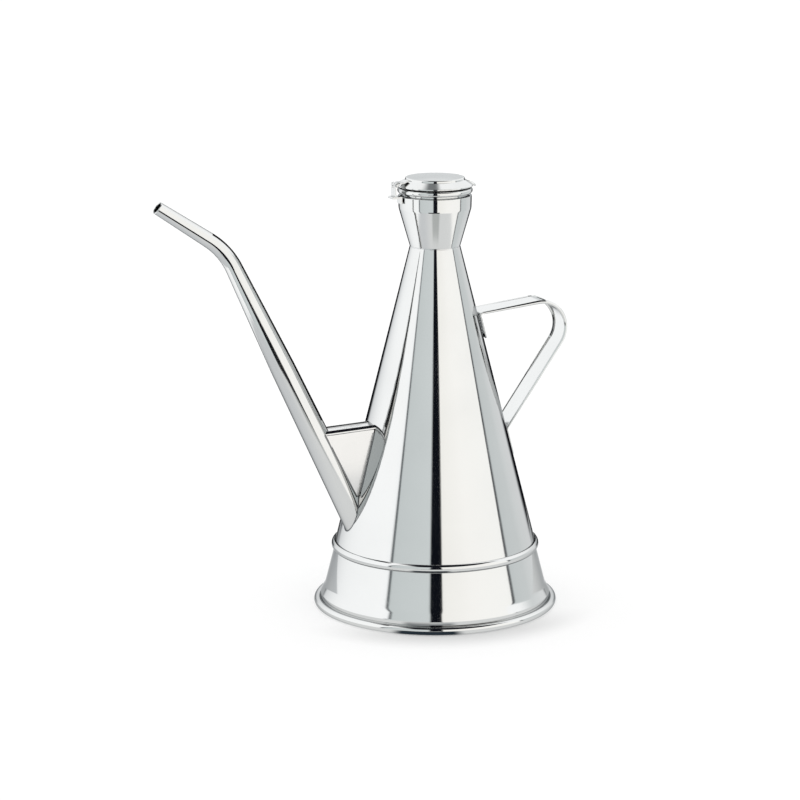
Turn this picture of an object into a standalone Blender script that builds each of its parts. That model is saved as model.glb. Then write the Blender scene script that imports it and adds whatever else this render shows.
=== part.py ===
"""Stainless steel oil can with a hinged lid, a long bent spout and a strap handle.

Lengths are in metres. Z is up and the can stands on Z = 0. The spout points along -X, the handle along +X.
"""

from math import acos, asin, atan, cos, hypot, pi, radians, sin, tan

import bmesh
import bpy
from mathutils import Euler, Matrix, Vector

# Sheet and fits
SHEET = 0.0005
SEAT_GAP = 0.0003
PIN_CLEARANCE = 0.00005

# Cone: its outer radius grows by CONE_TAPER for each metre down from its top edge
CONE_TOP_Z = 0.1638
CONE_TOP_RADIUS = 0.01127
CONE_TAPER = 0.2519
CONE_TOP_GAP = SEAT_GAP

# Skirt with the seam bead at its top and the rolled foot at its bottom
BEAD_Z = 0.0277
BEAD_RADIUS = 0.0021
BEAD_HALF_ANGLE = radians(65)
CONE_END_DROP = 0.0009
SKIRT_INSET = 0.0003
FLARE_START_Z = 0.0091
FLARE_END_Z = 0.0054
FLARE_END_RADIUS = 0.0519
FOOT_RADIUS = 0.055
FOOT_ROLL_RADIUS = 0.0018
FOOT_FLAT_WIDTH = 0.0014
FOOT_CREASE_ANGLE = radians(132)
FOOT_UNDERCUT_ANGLE = radians(-45)

# Bottom pan
PAN_Z = 0.011
PAN_DOME = 0.001
PAN_CORNER_RADIUS = 0.0015
PAN_FLANGE_HEIGHT = 0.0026

# Filler cup
SPIGOT_LENGTH = 0.0071
CUP_TAPER_HEIGHT = 0.0151
CUP_KNEE_RADIUS = 0.0157
CUP_SHOULDER_HEIGHT = 0.0022
CUP_SHOULDER_RADIUS = 0.01608
CUP_WALL_RADIUS = 0.0163
CUP_WALL_HEIGHT = 0.0087
RIM_ROLL_RADIUS = 0.0012
RIM_RADIUS = 0.01665
RIM_LIFT = 0.00096
RIM_ROLL_START = radians(-75)
RIM_ROLL_TURN = radians(325)

# Lid
LID_RADIUS = 0.0168
LID_EDGE_HEIGHT = 0.0008
LID_EDGE_WIDTH = 0.0019
LID_STEP_RADIUS = 0.0132
LID_SHOULDER_HEIGHT = 0.0023
PLATEAU_HEIGHT = 0.0011
PLATEAU_DOME = 0.0002
PLATEAU_CORNER = 0.0006
PLATEAU_SLANT = 0.0002
LID_EDGE_BEND = 0.00025
TAB_ROOT = 0.0014
TAB_REACH = 0.0193
TAB_WIDTH = 0.0072
TAB_SLOPE = radians(21)
TAB_DEPTH = 0.0018
TAB_BLUNTNESS = 0.0006

# Lid hinge on the spout's side
HINGE_OUTSET = 0.0022
HINGE_RISE = 0.0018
KNUCKLE_RADIUS = 0.00095
PIN_RADIUS = 0.0005
PIN_HEAD_RADIUS = 0.0008
PIN_HEAD_LENGTH = 0.0005
PIN_HEAD_CHAMFER = 0.0002
LEAF_KNUCKLE_WIDTH = 0.002
BRACKET_WIDTH = 0.0054
BRACKET_REACH = 0.0214
BRACKET_LEDGE = 0.0009
BRACKET_DROP = 0.0007
BRACKET_FOOT = 0.0024
RISER_INSET = 0.0001
LEAF_WIDTH = 0.0056
LEAF_END_OUT = 0.0006
LEAF_BEND_OUT = 0.0025
LEAF_BEND_LIFT = 0.0004
LEAF_BEND_RADIUS = 0.0008

# Spout: its middle line meets the cone SPOUT_RISE above the bead's middle
SPOUT_SHEET = 0.0005
SPOUT_RISE = 0.01976
RUN_SLOPE = radians(64.64)
RUN_LENGTH = 0.13341
TIP_SLOPE = radians(34)
TIP_LENGTH = 0.03665
SPOUT_BEND_RADIUS = 0.033
MOUTH_SLANT = radians(13)
MOUTH_RADIUS = 0.0028
BEND_START_RADIUS = 0.0034
BEND_END_RADIUS = 0.0038
MID_RUN_RADIUS = 0.0055
MID_RUN_LENGTH = 0.06
SPOUT_FOOT_RADIUS = 0.0066
SPOUT_ENTRY = 0.0022

# Gusset between the spout and the cone, with its heights above where the spout meets the cone
GUSSET_SHEET = 0.0006
GUSSET_WIDTH = 0.0108
GUSSET_TOP_RISE = 0.03689
GUSSET_TILT = radians(2.4)
GUSSET_FOLD_RADIUS = 0.0028
GUSSET_NOSE_INSET = 0.00656
GUSSET_FOOT_RISE = 0.00704

# Handle strap
STRAP_WIDTH = 0.014
STRAP_SHEET = 0.0006
STRAP_ROLL_RADIUS = 0.00085
HANDLE_TOP_Z = 0.1330
HANDLE_RISE = radians(7.2)
HANDLE_FALL = radians(54.5)
HANDLE_CORNER_RADIUS = 0.0131
HANDLE_REACH = 0.0622
HANDLE_ENTRY = 0.002
FOOT_PLATE_LENGTH = 0.012
FOOT_PLATE_CORNER = 0.0025

# Facets
BODY_STEPS = 72
CUP_STEPS = 48
TUBE_SIDES = 24
PIN_SIDES = 24
BEND_STEPS = 8
SMOOTH_ANGLE = radians(35)

# Cutters run this far past what they cut
CUTTER_SPAN = 0.04

STEEL = (0.76, 0.76, 0.75, 1.0)


def arc(center, radius, start, end, segments):
    """Points on a circle, as (x, z), from one angle to another."""
    step = (end - start) / segments
    angles = [start + step * i for i in range(segments + 1)]
    return [(center[0] + radius * cos(a), center[1] + radius * sin(a)) for a in angles]


def offset_line(points, distance):
    """The open line moved sideways, to the right of its direction when distance is positive."""
    moved = []
    for i, point in enumerate(points):
        before = points[max(i - 1, 0)]
        after = points[min(i + 1, len(points) - 1)]
        first = unit(before, point) if i else unit(point, after)
        second = unit(point, after) if after != point else first
        middle = (first[0] + second[0], first[1] + second[1])
        length = hypot(*middle)
        normal = (middle[1] / length, -middle[0] / length)
        reach = distance / (normal[0] * first[1] - normal[1] * first[0])
        moved.append((point[0] + normal[0] * reach, point[1] + normal[1] * reach))
    return moved


def unit(start, end):
    """The direction from one point to another."""
    length = hypot(end[0] - start[0], end[1] - start[1])
    return ((end[0] - start[0]) / length, (end[1] - start[1]) / length)


def sheet_outline(points, thickness):
    """A closed outline of bent sheet: the line, and back along its right-hand side."""
    return points + offset_line(points, thickness)[::-1]


def rounded_line(points, radius, segments):
    """The open line with each inner corner turned into an arc."""
    line = [points[0]]
    for before, corner, after in zip(points, points[1:], points[2:]):
        inward = unit(before, corner)
        outward = unit(corner, after)
        turn = inward[0] * outward[1] - inward[1] * outward[0]
        side = 1 if turn > 0 else -1
        angle = acos(max(-1, min(1, inward[0] * outward[0] + inward[1] * outward[1])))
        back = radius * tan(angle / 2)
        start = (corner[0] - inward[0] * back, corner[1] - inward[1] * back)
        center = (start[0] - side * inward[1] * radius, start[1] + side * inward[0] * radius)
        for i in range(segments + 1):
            swept = side * angle * i / segments
            from_center = Vector((start[0] - center[0], start[1] - center[1]))
            from_center.rotate(Matrix.Rotation(swept, 2))
            line.append((center[0] + from_center.x, center[1] + from_center.y))
    line.append(points[-1])
    return line


def collection(name, hidden=False):
    """A collection of the scene, hidden from renders when it holds cutters."""
    made = bpy.data.collections.new(name)
    made.hide_render = hidden
    bpy.context.scene.collection.children.link(made)
    return made


def steel(name, roughness):
    """A bare steel material of the piece's own."""
    made = bpy.data.materials.new(name)
    made.use_nodes = True
    shader = made.node_tree.nodes["Principled BSDF"]
    shader.inputs["Base Color"].default_value = STEEL
    shader.inputs["Metallic"].default_value = 1.0
    shader.inputs["Roughness"].default_value = roughness
    return made


def place(name, data, location=(0, 0, 0), rotation=(0, 0, 0)):
    """An object in the can's frame, whose own axis stands at AXIS_X in the scene."""
    made = bpy.data.objects.new(name, data)
    made.location = (AXIS_X + location[0], location[1], location[2])
    made.rotation_euler = rotation
    CAN.objects.link(made)
    return made


def finish(piece, roughness=0.12):
    """Gives the piece its own material and smooth shading."""
    piece.data.materials.append(steel(piece.name, roughness))
    piece.data.shade_smooth()
    piece.data.set_sharp_from_angle(angle=SMOOTH_ANGLE)
    return piece


def turned(name, outline, steps, closed=True):
    """A solid turned round the Z axis from an outline of (radius, z) that runs down its outer side."""
    mesh = bpy.data.meshes.new(name)
    edges = [(i, i + 1) for i in range(len(outline) - 1)]
    if closed:
        edges.append((len(outline) - 1, 0))
    mesh.from_pydata([(r, 0, z) for r, z in outline], edges, [])
    piece = place(name, mesh)
    screw = piece.modifiers.new("turn", "SCREW")
    screw.steps = steps
    screw.render_steps = steps
    screw.use_merge_vertices = True
    screw.merge_threshold = 0.00001
    screw.use_smooth_shade = True
    return piece


def to_mesh(piece):
    """The piece as a plain mesh object, with its curve or modifiers carried out."""
    graph = bpy.context.evaluated_depsgraph_get()
    mesh = bpy.data.meshes.new_from_object(piece.evaluated_get(graph))
    made = bpy.data.objects.new(piece.name, mesh)
    made.matrix_world = piece.matrix_world.copy()
    CAN.objects.link(made)
    name = piece.name
    bpy.data.objects.remove(piece)
    made.name = name
    return made


def weld(piece):
    """Joins the points of a mesh that lie on each other, and turns its faces outwards."""
    work = bmesh.new()
    work.from_mesh(piece.data)
    bmesh.ops.remove_doubles(work, verts=work.verts, dist=0.000002)
    bmesh.ops.recalc_face_normals(work, faces=work.faces)
    work.to_mesh(piece.data)
    work.free()
    return piece


def plate(name, outline, width, plane="XZ", middle=0.0):
    """A flat outline made as thick as width. It lies in the plane, and middle says how far off it is."""
    turns = {"XZ": (pi / 2, 0, 0), "YZ": (pi / 2, 0, pi / 2), "XY": (0, 0, 0)}
    offsets = {"XZ": (0, middle, 0), "YZ": (middle, 0, 0), "XY": (0, 0, middle)}
    curve = bpy.data.curves.new(name, "CURVE")
    curve.dimensions = "2D"
    curve.fill_mode = "BOTH"
    curve.extrude = width / 2
    spline = curve.splines.new("POLY")
    spline.points.add(len(outline) - 1)
    spline.use_cyclic_u = True
    for point, (x, y) in zip(spline.points, outline):
        point.co = (x, y, 0, 1)
    piece = place(name, curve, offsets[plane])
    bpy.context.view_layer.update()
    piece = weld(to_mesh(piece))
    piece.data.transform(Euler(turns[plane]).to_matrix().to_4x4())
    return piece


def rod(name, radius, length, x, z, sides=PIN_SIDES):
    """A round bar that lies along Y."""
    return plate(name, arc((x, z), radius, 0, 2 * pi * (1 - 1 / sides), sides - 1), length)


def boolean(piece, tool, operation):
    """Cuts the piece with a tool, or joins the tool to it."""
    modifier = piece.modifiers.new(operation.lower(), "BOOLEAN")
    modifier.operation = operation
    modifier.solver = "EXACT"
    modifier.object = tool
    if tool.name not in CUTTERS.objects:
        CAN.objects.unlink(tool)
        CUTTERS.objects.link(tool)
        tool.hide_render = True
        tool.display_type = "WIRE"
    return piece


def cone_radius(z):
    """The outer radius of the cone at a height."""
    return CONE_TOP_RADIUS + CONE_TAPER * (CONE_TOP_Z - z)


def skirt_radius(z):
    """The outer radius of the skirt's straight wall at a height."""
    return cone_radius(z) - SKIRT_INSET


def cone_solid(name, growth):
    """A full cone that stands off the real one by growth, for cutting other pieces to its shape."""
    off = growth / cos(atan(CONE_TAPER))
    top = (cone_radius(CONE_TOP_Z) + off, CONE_TOP_Z)
    outline = [(0, CONE_TOP_Z), top, (cone_radius(0) + off, 0), (0, 0)]
    return turned(name, outline, BODY_STEPS, closed=False)


def make_cone(spout_cutter):
    low = BEAD_Z - CONE_END_DROP
    outer = [(cone_radius(CONE_TOP_Z), CONE_TOP_Z), (cone_radius(low), low)]
    cone = turned("cone_body", sheet_outline(outer, SHEET), BODY_STEPS)
    boolean(cone, spout_cutter, "DIFFERENCE")
    return finish(cone)


def make_skirt():
    lip = BEAD_RADIUS - SHEET
    lip_z = BEAD_Z + lip * sin(BEAD_HALF_ANGLE)
    bead_radius = cone_radius(lip_z) + SEAT_GAP - lip * cos(BEAD_HALF_ANGLE)
    bead = arc((bead_radius, BEAD_Z), BEAD_RADIUS, BEAD_HALF_ANGLE, -BEAD_HALF_ANGLE, 7)
    roll_center = (FOOT_RADIUS - FOOT_ROLL_RADIUS, FOOT_ROLL_RADIUS)
    roll = arc(roll_center, FOOT_ROLL_RADIUS, FOOT_CREASE_ANGLE, FOOT_UNDERCUT_ANGLE, 6)
    flat = FOOT_FLAT_WIDTH / 2
    underside = [(roll_center[0] + flat, 0), (roll_center[0] - flat, 0)]
    inner_roll = arc(roll_center, FOOT_ROLL_RADIUS, -pi - FOOT_UNDERCUT_ANGLE, -pi, 2)
    wall = [(skirt_radius(FLARE_START_Z), FLARE_START_Z), (FLARE_END_RADIUS, FLARE_END_Z)]
    outer = bead + wall + roll[:1]
    inner = offset_line(outer, SHEET)[::-1]
    outline = outer + roll[1:] + underside + inner_roll + inner[1:]
    return finish(turned("foot_skirt", outline, BODY_STEPS))


def flange_radius(z):
    """The outer radius of the pan's flange, which stands off the skirt's inner face by SEAT_GAP."""
    return skirt_radius(z) - (SHEET + SEAT_GAP) / cos(atan(CONE_TAPER))


def make_pan():
    low = PAN_Z - PAN_FLANGE_HEIGHT
    wide = flange_radius(PAN_Z)
    corner = (wide - PAN_CORNER_RADIUS, PAN_Z - PAN_CORNER_RADIUS)
    bend = arc(corner, PAN_CORNER_RADIUS, pi / 2, 0, 3)
    dome = [(wide * share, PAN_Z + PAN_DOME * (1 - share**2)) for share in (0, 0.5)]
    outer = dome + bend + [(flange_radius(low), low)]
    return finish(turned("bottom_pan", sheet_outline(outer, SHEET), BODY_STEPS, closed=False), 0.2)


def make_cup():
    base_z = CONE_TOP_Z + CONE_TOP_GAP
    spigot_radius = CONE_TOP_RADIUS - SHEET - SEAT_GAP
    knee_z = base_z + CUP_TAPER_HEIGHT
    roll_center = (RIM_RADIUS - RIM_ROLL_RADIUS, rim_center_z())
    roll = arc(roll_center, RIM_ROLL_RADIUS, RIM_ROLL_START, RIM_ROLL_START - RIM_ROLL_TURN, 13)
    outer = [
        (CUP_WALL_RADIUS, roll[-1][1]),
        (CUP_WALL_RADIUS, knee_z + CUP_WALL_HEIGHT / 2),
        (CUP_SHOULDER_RADIUS, knee_z + CUP_SHOULDER_HEIGHT),
        (CUP_KNEE_RADIUS, knee_z),
        (CONE_TOP_RADIUS, base_z),
        (spigot_radius, base_z),
        (spigot_radius, base_z - SPIGOT_LENGTH),
    ]
    inner = offset_line(outer, SHEET)[::-1]
    return finish(turned("filler_cup", outer + inner[:-1] + roll[:-1], CUP_STEPS))


def rim_center_z():
    """The height of the middle of the cup's rolled rim."""
    return CONE_TOP_Z + CONE_TOP_GAP + CUP_TAPER_HEIGHT + CUP_WALL_HEIGHT + RIM_LIFT


def lid_base_z():
    """The height of the lid's underside where it lies on the rim."""
    return rim_center_z() + RIM_ROLL_RADIUS + SEAT_GAP


def lid_shoulder_z(radius):
    """The height of the top of the lid's shoulder at a radius."""
    share = (LID_RADIUS - radius) / (LID_RADIUS - LID_STEP_RADIUS)
    return lid_base_z() + LID_EDGE_HEIGHT + LID_SHOULDER_HEIGHT * share


def across_shoulder(thickness):
    """How tall a layer of this thickness stands where it lies on the lid's sloping shoulder."""
    return thickness / cos(atan(LID_SHOULDER_HEIGHT / (LID_RADIUS - LID_STEP_RADIUS)))


def make_lid():
    base = lid_base_z()
    bend = LID_EDGE_BEND
    step_z = lid_shoulder_z(LID_STEP_RADIUS)
    top = step_z + PLATEAU_HEIGHT
    corner = (LID_STEP_RADIUS - PLATEAU_SLANT - PLATEAU_CORNER, top - PLATEAU_CORNER)
    plateau = [(0, top + PLATEAU_DOME)] + arc(corner, PLATEAU_CORNER, pi / 2, 0, 3)
    shoulder = [(LID_STEP_RADIUS, step_z), (LID_RADIUS - bend, base + LID_EDGE_HEIGHT)]
    under = offset_line(plateau + shoulder, SHEET)[::-1]
    hem_radius = LID_RADIUS - LID_EDGE_WIDTH
    edge = [
        (LID_RADIUS, base + LID_EDGE_HEIGHT - bend),
        (LID_RADIUS, base + bend),
        (LID_RADIUS - bend, base),
        (hem_radius, base),
        (hem_radius, lid_shoulder_z(hem_radius) - across_shoulder(SHEET)),
    ]
    lid = turned("lid", plateau + shoulder + edge + under[1:], CUP_STEPS, closed=False)
    root = LID_STEP_RADIUS + TAB_ROOT
    root_z = lid_shoulder_z(root) - SHEET / 2
    tip_z = root_z - (TAB_REACH - root) * tan(TAB_SLOPE)
    side = [
        (root, root_z),
        (TAB_REACH - bend, tip_z),
        (TAB_REACH, tip_z - bend),
        (TAB_REACH, tip_z - TAB_DEPTH + bend),
        (TAB_REACH - bend, tip_z - TAB_DEPTH),
        (LID_RADIUS - bend, base + bend),
        (root, root_z - SHEET / 2),
    ]
    tab = plate("tab_side", side, TAB_WIDTH)
    half = TAB_WIDTH / 2
    tip = arc((TAB_REACH + TAB_BLUNTNESS - half, 0), half, -pi / 2, pi / 2, 12)
    outline = [(root - bend, -half)] + tip + [(root - bend, half)]
    boolean(tab, plate("tab_plan", outline, CUTTER_SPAN, "XY", base), "INTERSECT")
    boolean(lid, tab, "UNION")
    return finish(lid)


def make_spout(center_line, radii):
    """The spout as a tapered tube, cut off at its mouth and inside the cone."""
    tube = weld(to_mesh(tube_curve("spout", center_line, radii, capped=False)))
    wall = tube.modifiers.new("wall", "SOLIDIFY")
    wall.thickness = SPOUT_SHEET
    wall.offset = -1
    wall.use_even_offset = True
    half = CUTTER_SPAN / 2
    mouth = plate("mouth_cutter", [(-half, 0), (half, 0), (half, half), (-half, half)], CUTTER_SPAN)
    mouth_x, mouth_z = spout_mouth()
    mouth.location = (AXIS_X + mouth_x, 0, mouth_z)
    mouth.rotation_euler = (0, TIP_SLOPE + MOUTH_SLANT - pi / 2, 0)
    boolean(tube, mouth, "DIFFERENCE")
    boolean(tube, cone_solid("spout_end_cutter", -SHEET - SPOUT_ENTRY), "DIFFERENCE")
    return finish(tube)


def tube_curve(name, line, radii, capped=True):
    """A curve in the XZ plane that swells from radius to radius."""
    curve = bpy.data.curves.new(name, "CURVE")
    curve.dimensions = "3D"
    curve.bevel_depth = 1.0
    curve.bevel_resolution = TUBE_SIDES // 4 - 2
    curve.use_fill_caps = capped
    spline = curve.splines.new("POLY")
    spline.points.add(len(line) - 1)
    for point, (x, z), radius in zip(spline.points, line, radii):
        point.co = (x, 0, z, 1)
        point.radius = radius
    piece = place(name, curve)
    bpy.context.view_layer.update()
    return piece


def spout_root():
    """Where the spout's middle line meets the cone's outer face."""
    z = BEAD_Z + SPOUT_RISE
    return (-cone_radius(z), z)


def spout_corner():
    """Where the middle lines of the tip and the long run would cross."""
    x, z = spout_root()
    return (x - cos(RUN_SLOPE) * RUN_LENGTH, z + sin(RUN_SLOPE) * RUN_LENGTH)


def spout_mouth():
    """The middle of the spout's mouth."""
    x, z = spout_corner()
    return (x - cos(TIP_SLOPE) * TIP_LENGTH, z + sin(TIP_SLOPE) * TIP_LENGTH)


def spout_line():
    """The spout's middle line from past its mouth to inside the cone, and its radius at each point."""
    tip = (cos(TIP_SLOPE), -sin(TIP_SLOPE))
    run = (cos(RUN_SLOPE), -sin(RUN_SLOPE))
    corner = spout_corner()
    mouth = spout_mouth()
    start = (mouth[0] - tip[0] * MOUTH_RADIUS, mouth[1] - tip[1] * MOUTH_RADIUS)
    length = RUN_LENGTH + 2 * SPOUT_FOOT_RADIUS
    end = (corner[0] + run[0] * length, corner[1] + run[1] * length)
    middle = (corner[0] + run[0] * MID_RUN_LENGTH, corner[1] + run[1] * MID_RUN_LENGTH)
    bend = rounded_line([start, corner, end], SPOUT_BEND_RADIUS, BEND_STEPS)[1:-1]
    growth = (BEND_END_RADIUS - BEND_START_RADIUS) / BEND_STEPS
    swell = [BEND_START_RADIUS + growth * i for i in range(BEND_STEPS + 1)]
    return [start] + bend + [middle, end], [MOUTH_RADIUS] + swell + [MID_RUN_RADIUS, SPOUT_FOOT_RADIUS]


def spout_axis_x(z):
    """Where the long run's middle line is at a height."""
    corner = spout_corner()
    return corner[0] + (corner[1] - z) / tan(RUN_SLOPE)


def spout_axis_z(x):
    """The height of the long run's middle line at an X."""
    corner = spout_corner()
    return corner[1] - (x - corner[0]) * tan(RUN_SLOPE)


def make_gusset(spout_cutter):
    """A folded bridge whose sides lie against the spout and whose back follows the cone."""
    half = GUSSET_WIDTH / 2
    root_z = spout_root()[1]
    top_z = root_z + GUSSET_TOP_RISE
    foot_z = root_z + GUSSET_FOOT_RISE
    nose_x = spout_axis_x(top_z) + GUSSET_NOSE_INSET
    depth = 1.5 * (top_z - foot_z)
    fold = GUSSET_FOLD_RADIUS
    left = arc((-half + fold, -fold), fold, pi, pi / 2, 5)
    right = arc((half - fold, -fold), fold, pi / 2, 0, 5)
    section = [(-half, -depth)] + left + right + [(half, -depth)]
    outline = sheet_outline(section, GUSSET_SHEET)
    gusset = plate("spout_gusset", outline, CUTTER_SPAN, "YZ", CUTTER_SPAN / 4)
    gusset.location = (AXIS_X + nose_x, 0, top_z)
    gusset.rotation_euler.y = -GUSSET_TILT
    high = top_z + half
    back = -cone_radius(top_z) / 2
    side = [
        (nose_x, high),
        (nose_x, spout_axis_z(nose_x)),
        (spout_axis_x(foot_z), foot_z),
        (back, foot_z),
        (back, high),
    ]
    boolean(gusset, plate("gusset_side", side, CUTTER_SPAN), "INTERSECT")
    boolean(gusset, cone_solid("gusset_cone_cutter", SEAT_GAP), "DIFFERENCE")
    boolean(gusset, spout_cutter, "DIFFERENCE")
    return finish(gusset)


def strap_section():
    """The strap's section with both edges rolled to its inner side. The outer face is at Y = 0."""
    half = STRAP_WIDTH / 2
    roll = STRAP_ROLL_RADIUS
    lift = asin((roll - STRAP_SHEET) / roll)
    right = arc((half - roll, -roll), roll, pi / 2, -pi - lift, 9)
    left = [(-x, y) for x, y in right[::-1]]
    return right + left


def make_handle():
    """The strap bent into a loop, with a foot at each end that follows the cone."""
    center_x = HANDLE_REACH - HANDLE_CORNER_RADIUS
    root_x = cone_radius(HANDLE_TOP_Z)
    corner_z = HANDLE_TOP_Z + (center_x - root_x) * tan(HANDLE_RISE)
    center = (center_x, corner_z - HANDLE_CORNER_RADIUS / cos(HANDLE_RISE))
    corner = arc(center, HANDLE_CORNER_RADIUS, pi / 2 + HANDLE_RISE, HANDLE_FALL - pi / 2, 13)
    start = (root_x - HANDLE_ENTRY, HANDLE_TOP_Z - HANDLE_ENTRY * tan(HANDLE_RISE))
    low = corner[-1]
    fall = (low[0] - cone_radius(low[1])) / (cos(HANDLE_FALL) + CONE_TAPER * sin(HANDLE_FALL))
    length = fall + HANDLE_ENTRY
    end = (low[0] - length * cos(HANDLE_FALL), low[1] - length * sin(HANDLE_FALL))
    foot_z = low[1] - fall * sin(HANDLE_FALL)
    section = bpy.data.curves.new("strap_section", "CURVE")
    section.dimensions = "2D"
    outline = section.splines.new("POLY")
    points = strap_section()
    outline.points.add(len(points) - 1)
    outline.use_cyclic_u = True
    for point, (x, y) in zip(outline.points, points):
        point.co = (-y, x, 0, 1)
    profile = place("strap_section", section)
    path = bpy.data.curves.new("handle_strap", "CURVE")
    path.dimensions = "2D"
    path.bevel_mode = "OBJECT"
    path.bevel_object = profile
    path.use_fill_caps = True
    spline = path.splines.new("POLY")
    line = [start] + corner + [end]
    spline.points.add(len(line) - 1)
    for point, (x, z) in zip(spline.points, line):
        point.co = (x, z, 0, 1)
    strap = place("handle_strap", path, rotation=(pi / 2, 0, 0))
    bpy.context.view_layer.update()
    strap = weld(to_mesh(strap))
    bpy.data.objects.remove(profile)
    for name, top in (("top_foot", HANDLE_TOP_Z), ("low_foot", foot_z)):
        boolean(strap, foot_plate(name, top), "UNION")
    boolean(strap, cone_solid("handle_cone_cutter", SEAT_GAP), "DIFFERENCE")
    return finish(strap)


def foot_plate(name, top):
    """A plate that lies round the cone, from a height down."""
    low = top - FOOT_PLATE_LENGTH
    stand = SEAT_GAP / 2
    outer = SEAT_GAP + STRAP_SHEET
    round_low = FOOT_PLATE_CORNER
    over = top + round_low
    under = low - round_low
    ring = [
        (cone_radius(over) + outer, over),
        (cone_radius(under) + outer, under),
        (cone_radius(under) + stand, under),
        (cone_radius(over) + stand, over),
    ]
    foot = turned(name, ring, BODY_STEPS)
    half = STRAP_WIDTH / 2
    outline = (
        [(half, top)]
        + arc((half - round_low, low + round_low), round_low, 0, -pi / 2, 4)
        + arc((-half + round_low, low + round_low), round_low, -pi / 2, -pi, 4)
        + [(-half, top)]
    )
    boolean(foot, plate(name + "_outline", outline, CUTTER_SPAN, "YZ", cone_radius(low)), "INTERSECT")
    return foot


def hinge_position():
    """The middle of the hinge pin, as (x, z)."""
    return (-LID_RADIUS - HINGE_OUTSET, lid_base_z() + HINGE_RISE)


def make_bracket():
    """A foot on the cup's wall, a folded ledge under the rim and a riser with the two outer knuckles."""
    x, z = hinge_position()
    wall_x = -CUP_WALL_RADIUS - SEAT_GAP
    ledge_top = rim_center_z() - RIM_ROLL_RADIUS - BRACKET_DROP
    ledge_low = ledge_top - BRACKET_LEDGE
    fold = BRACKET_LEDGE / 2
    ledge_end = arc((fold - BRACKET_REACH, ledge_top - fold), fold, pi / 2, 3 * pi / 2, 6)
    foot_low = ledge_low - BRACKET_FOOT
    foot_x = wall_x - SHEET
    foot = [(foot_x, ledge_low), (foot_x, foot_low), (wall_x, foot_low), (wall_x, ledge_top)]
    bracket = plate("hinge_bracket", ledge_end + foot, BRACKET_WIDTH)
    outer_x = x - KNUCKLE_RADIUS + RISER_INSET / 2
    inner_x = outer_x + SHEET
    riser_low = ledge_low + SHEET
    riser = [(outer_x, riser_low), (inner_x, riser_low), (inner_x, z), (outer_x, z)]
    boolean(bracket, plate("bracket_riser", riser, BRACKET_WIDTH - 2 * RISER_INSET), "UNION")
    boolean(bracket, rod("bracket_knuckles", KNUCKLE_RADIUS, BRACKET_WIDTH, x, z), "UNION")
    bore = PIN_RADIUS + PIN_CLEARANCE
    boolean(bracket, rod("bracket_bore", bore, BRACKET_WIDTH * 2, x, z), "DIFFERENCE")
    slot = LEAF_KNUCKLE_WIDTH + 2 * SEAT_GAP
    reach = KNUCKLE_RADIUS + SEAT_GAP
    side = 2 * reach
    window = [(x - side, z - reach), (x + side, z - reach), (x + side, z + side), (x - side, z + side)]
    boolean(bracket, plate("bracket_slot", window, slot), "DIFFERENCE")
    return finish(bracket)


def make_leaf():
    """The strip on the lid's shoulder that holds the middle knuckle."""
    x, z = hinge_position()
    off = across_shoulder(SEAT_GAP + SHEET)
    high = -LID_STEP_RADIUS - LEAF_END_OUT
    low = -LID_STEP_RADIUS - LEAF_BEND_OUT
    line = [
        (x, z + KNUCKLE_RADIUS),
        (low, lid_shoulder_z(-low) + off + LEAF_BEND_LIFT),
        (high, lid_shoulder_z(-high) + off),
    ]
    outline = sheet_outline(rounded_line(line, LEAF_BEND_RADIUS, 3), SHEET)
    leaf = plate("lid_hinge_leaf", outline, LEAF_WIDTH)
    half = LEAF_WIDTH / 2
    neck = LEAF_KNUCKLE_WIDTH / 2
    waist = x + KNUCKLE_RADIUS + SEAT_GAP
    end_x = high + KNUCKLE_RADIUS
    tip_x = x - 2 * KNUCKLE_RADIUS
    outline = [
        (end_x, -half),
        (end_x, half),
        (waist, half),
        (waist, neck),
        (tip_x, neck),
        (tip_x, -neck),
        (waist, -neck),
        (waist, -half),
    ]
    boolean(leaf, plate("leaf_plan", outline, CUTTER_SPAN, "XY", z), "INTERSECT")
    boolean(leaf, rod("leaf_knuckle", KNUCKLE_RADIUS, LEAF_KNUCKLE_WIDTH, x, z), "UNION")
    bore = PIN_RADIUS + PIN_CLEARANCE
    boolean(leaf, rod("leaf_bore", bore, LEAF_WIDTH * 2, x, z), "DIFFERENCE")
    return finish(leaf)


def make_pin():
    """The hinge pin with its two peened heads."""
    x, z = hinge_position()
    half = BRACKET_WIDTH / 2 + SEAT_GAP / 3
    end = half + PIN_HEAD_LENGTH
    chamfer = PIN_HEAD_CHAMFER
    outline = [
        (0, end),
        (PIN_HEAD_RADIUS - chamfer, end),
        (PIN_HEAD_RADIUS, end - chamfer),
        (PIN_HEAD_RADIUS, half),
        (PIN_RADIUS, half),
        (PIN_RADIUS, -half),
        (PIN_HEAD_RADIUS, -half),
        (PIN_HEAD_RADIUS, chamfer - end),
        (PIN_HEAD_RADIUS - chamfer, -end),
        (0, -end),
    ]
    pin = turned("hinge_pin", outline, PIN_SIDES, closed=False)
    pin.location = (AXIS_X + x, 0, z)
    pin.rotation_euler = (pi / 2, 0, 0)
    return finish(pin)


def hinge_axis(pieces):
    """An empty on the hinge's axis that carries the lid's pieces."""
    x, z = hinge_position()
    axis = bpy.data.objects.new("lid_hinge_axis", None)
    axis.location = (AXIS_X + x, 0, z)
    axis.empty_display_size = 0.01
    CAN.objects.link(axis)
    bpy.context.view_layer.update()
    for piece in pieces:
        piece.parent = axis
        piece.matrix_parent_inverse = axis.matrix_world.inverted()


for old in list(bpy.data.objects):
    bpy.data.objects.remove(old)

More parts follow.
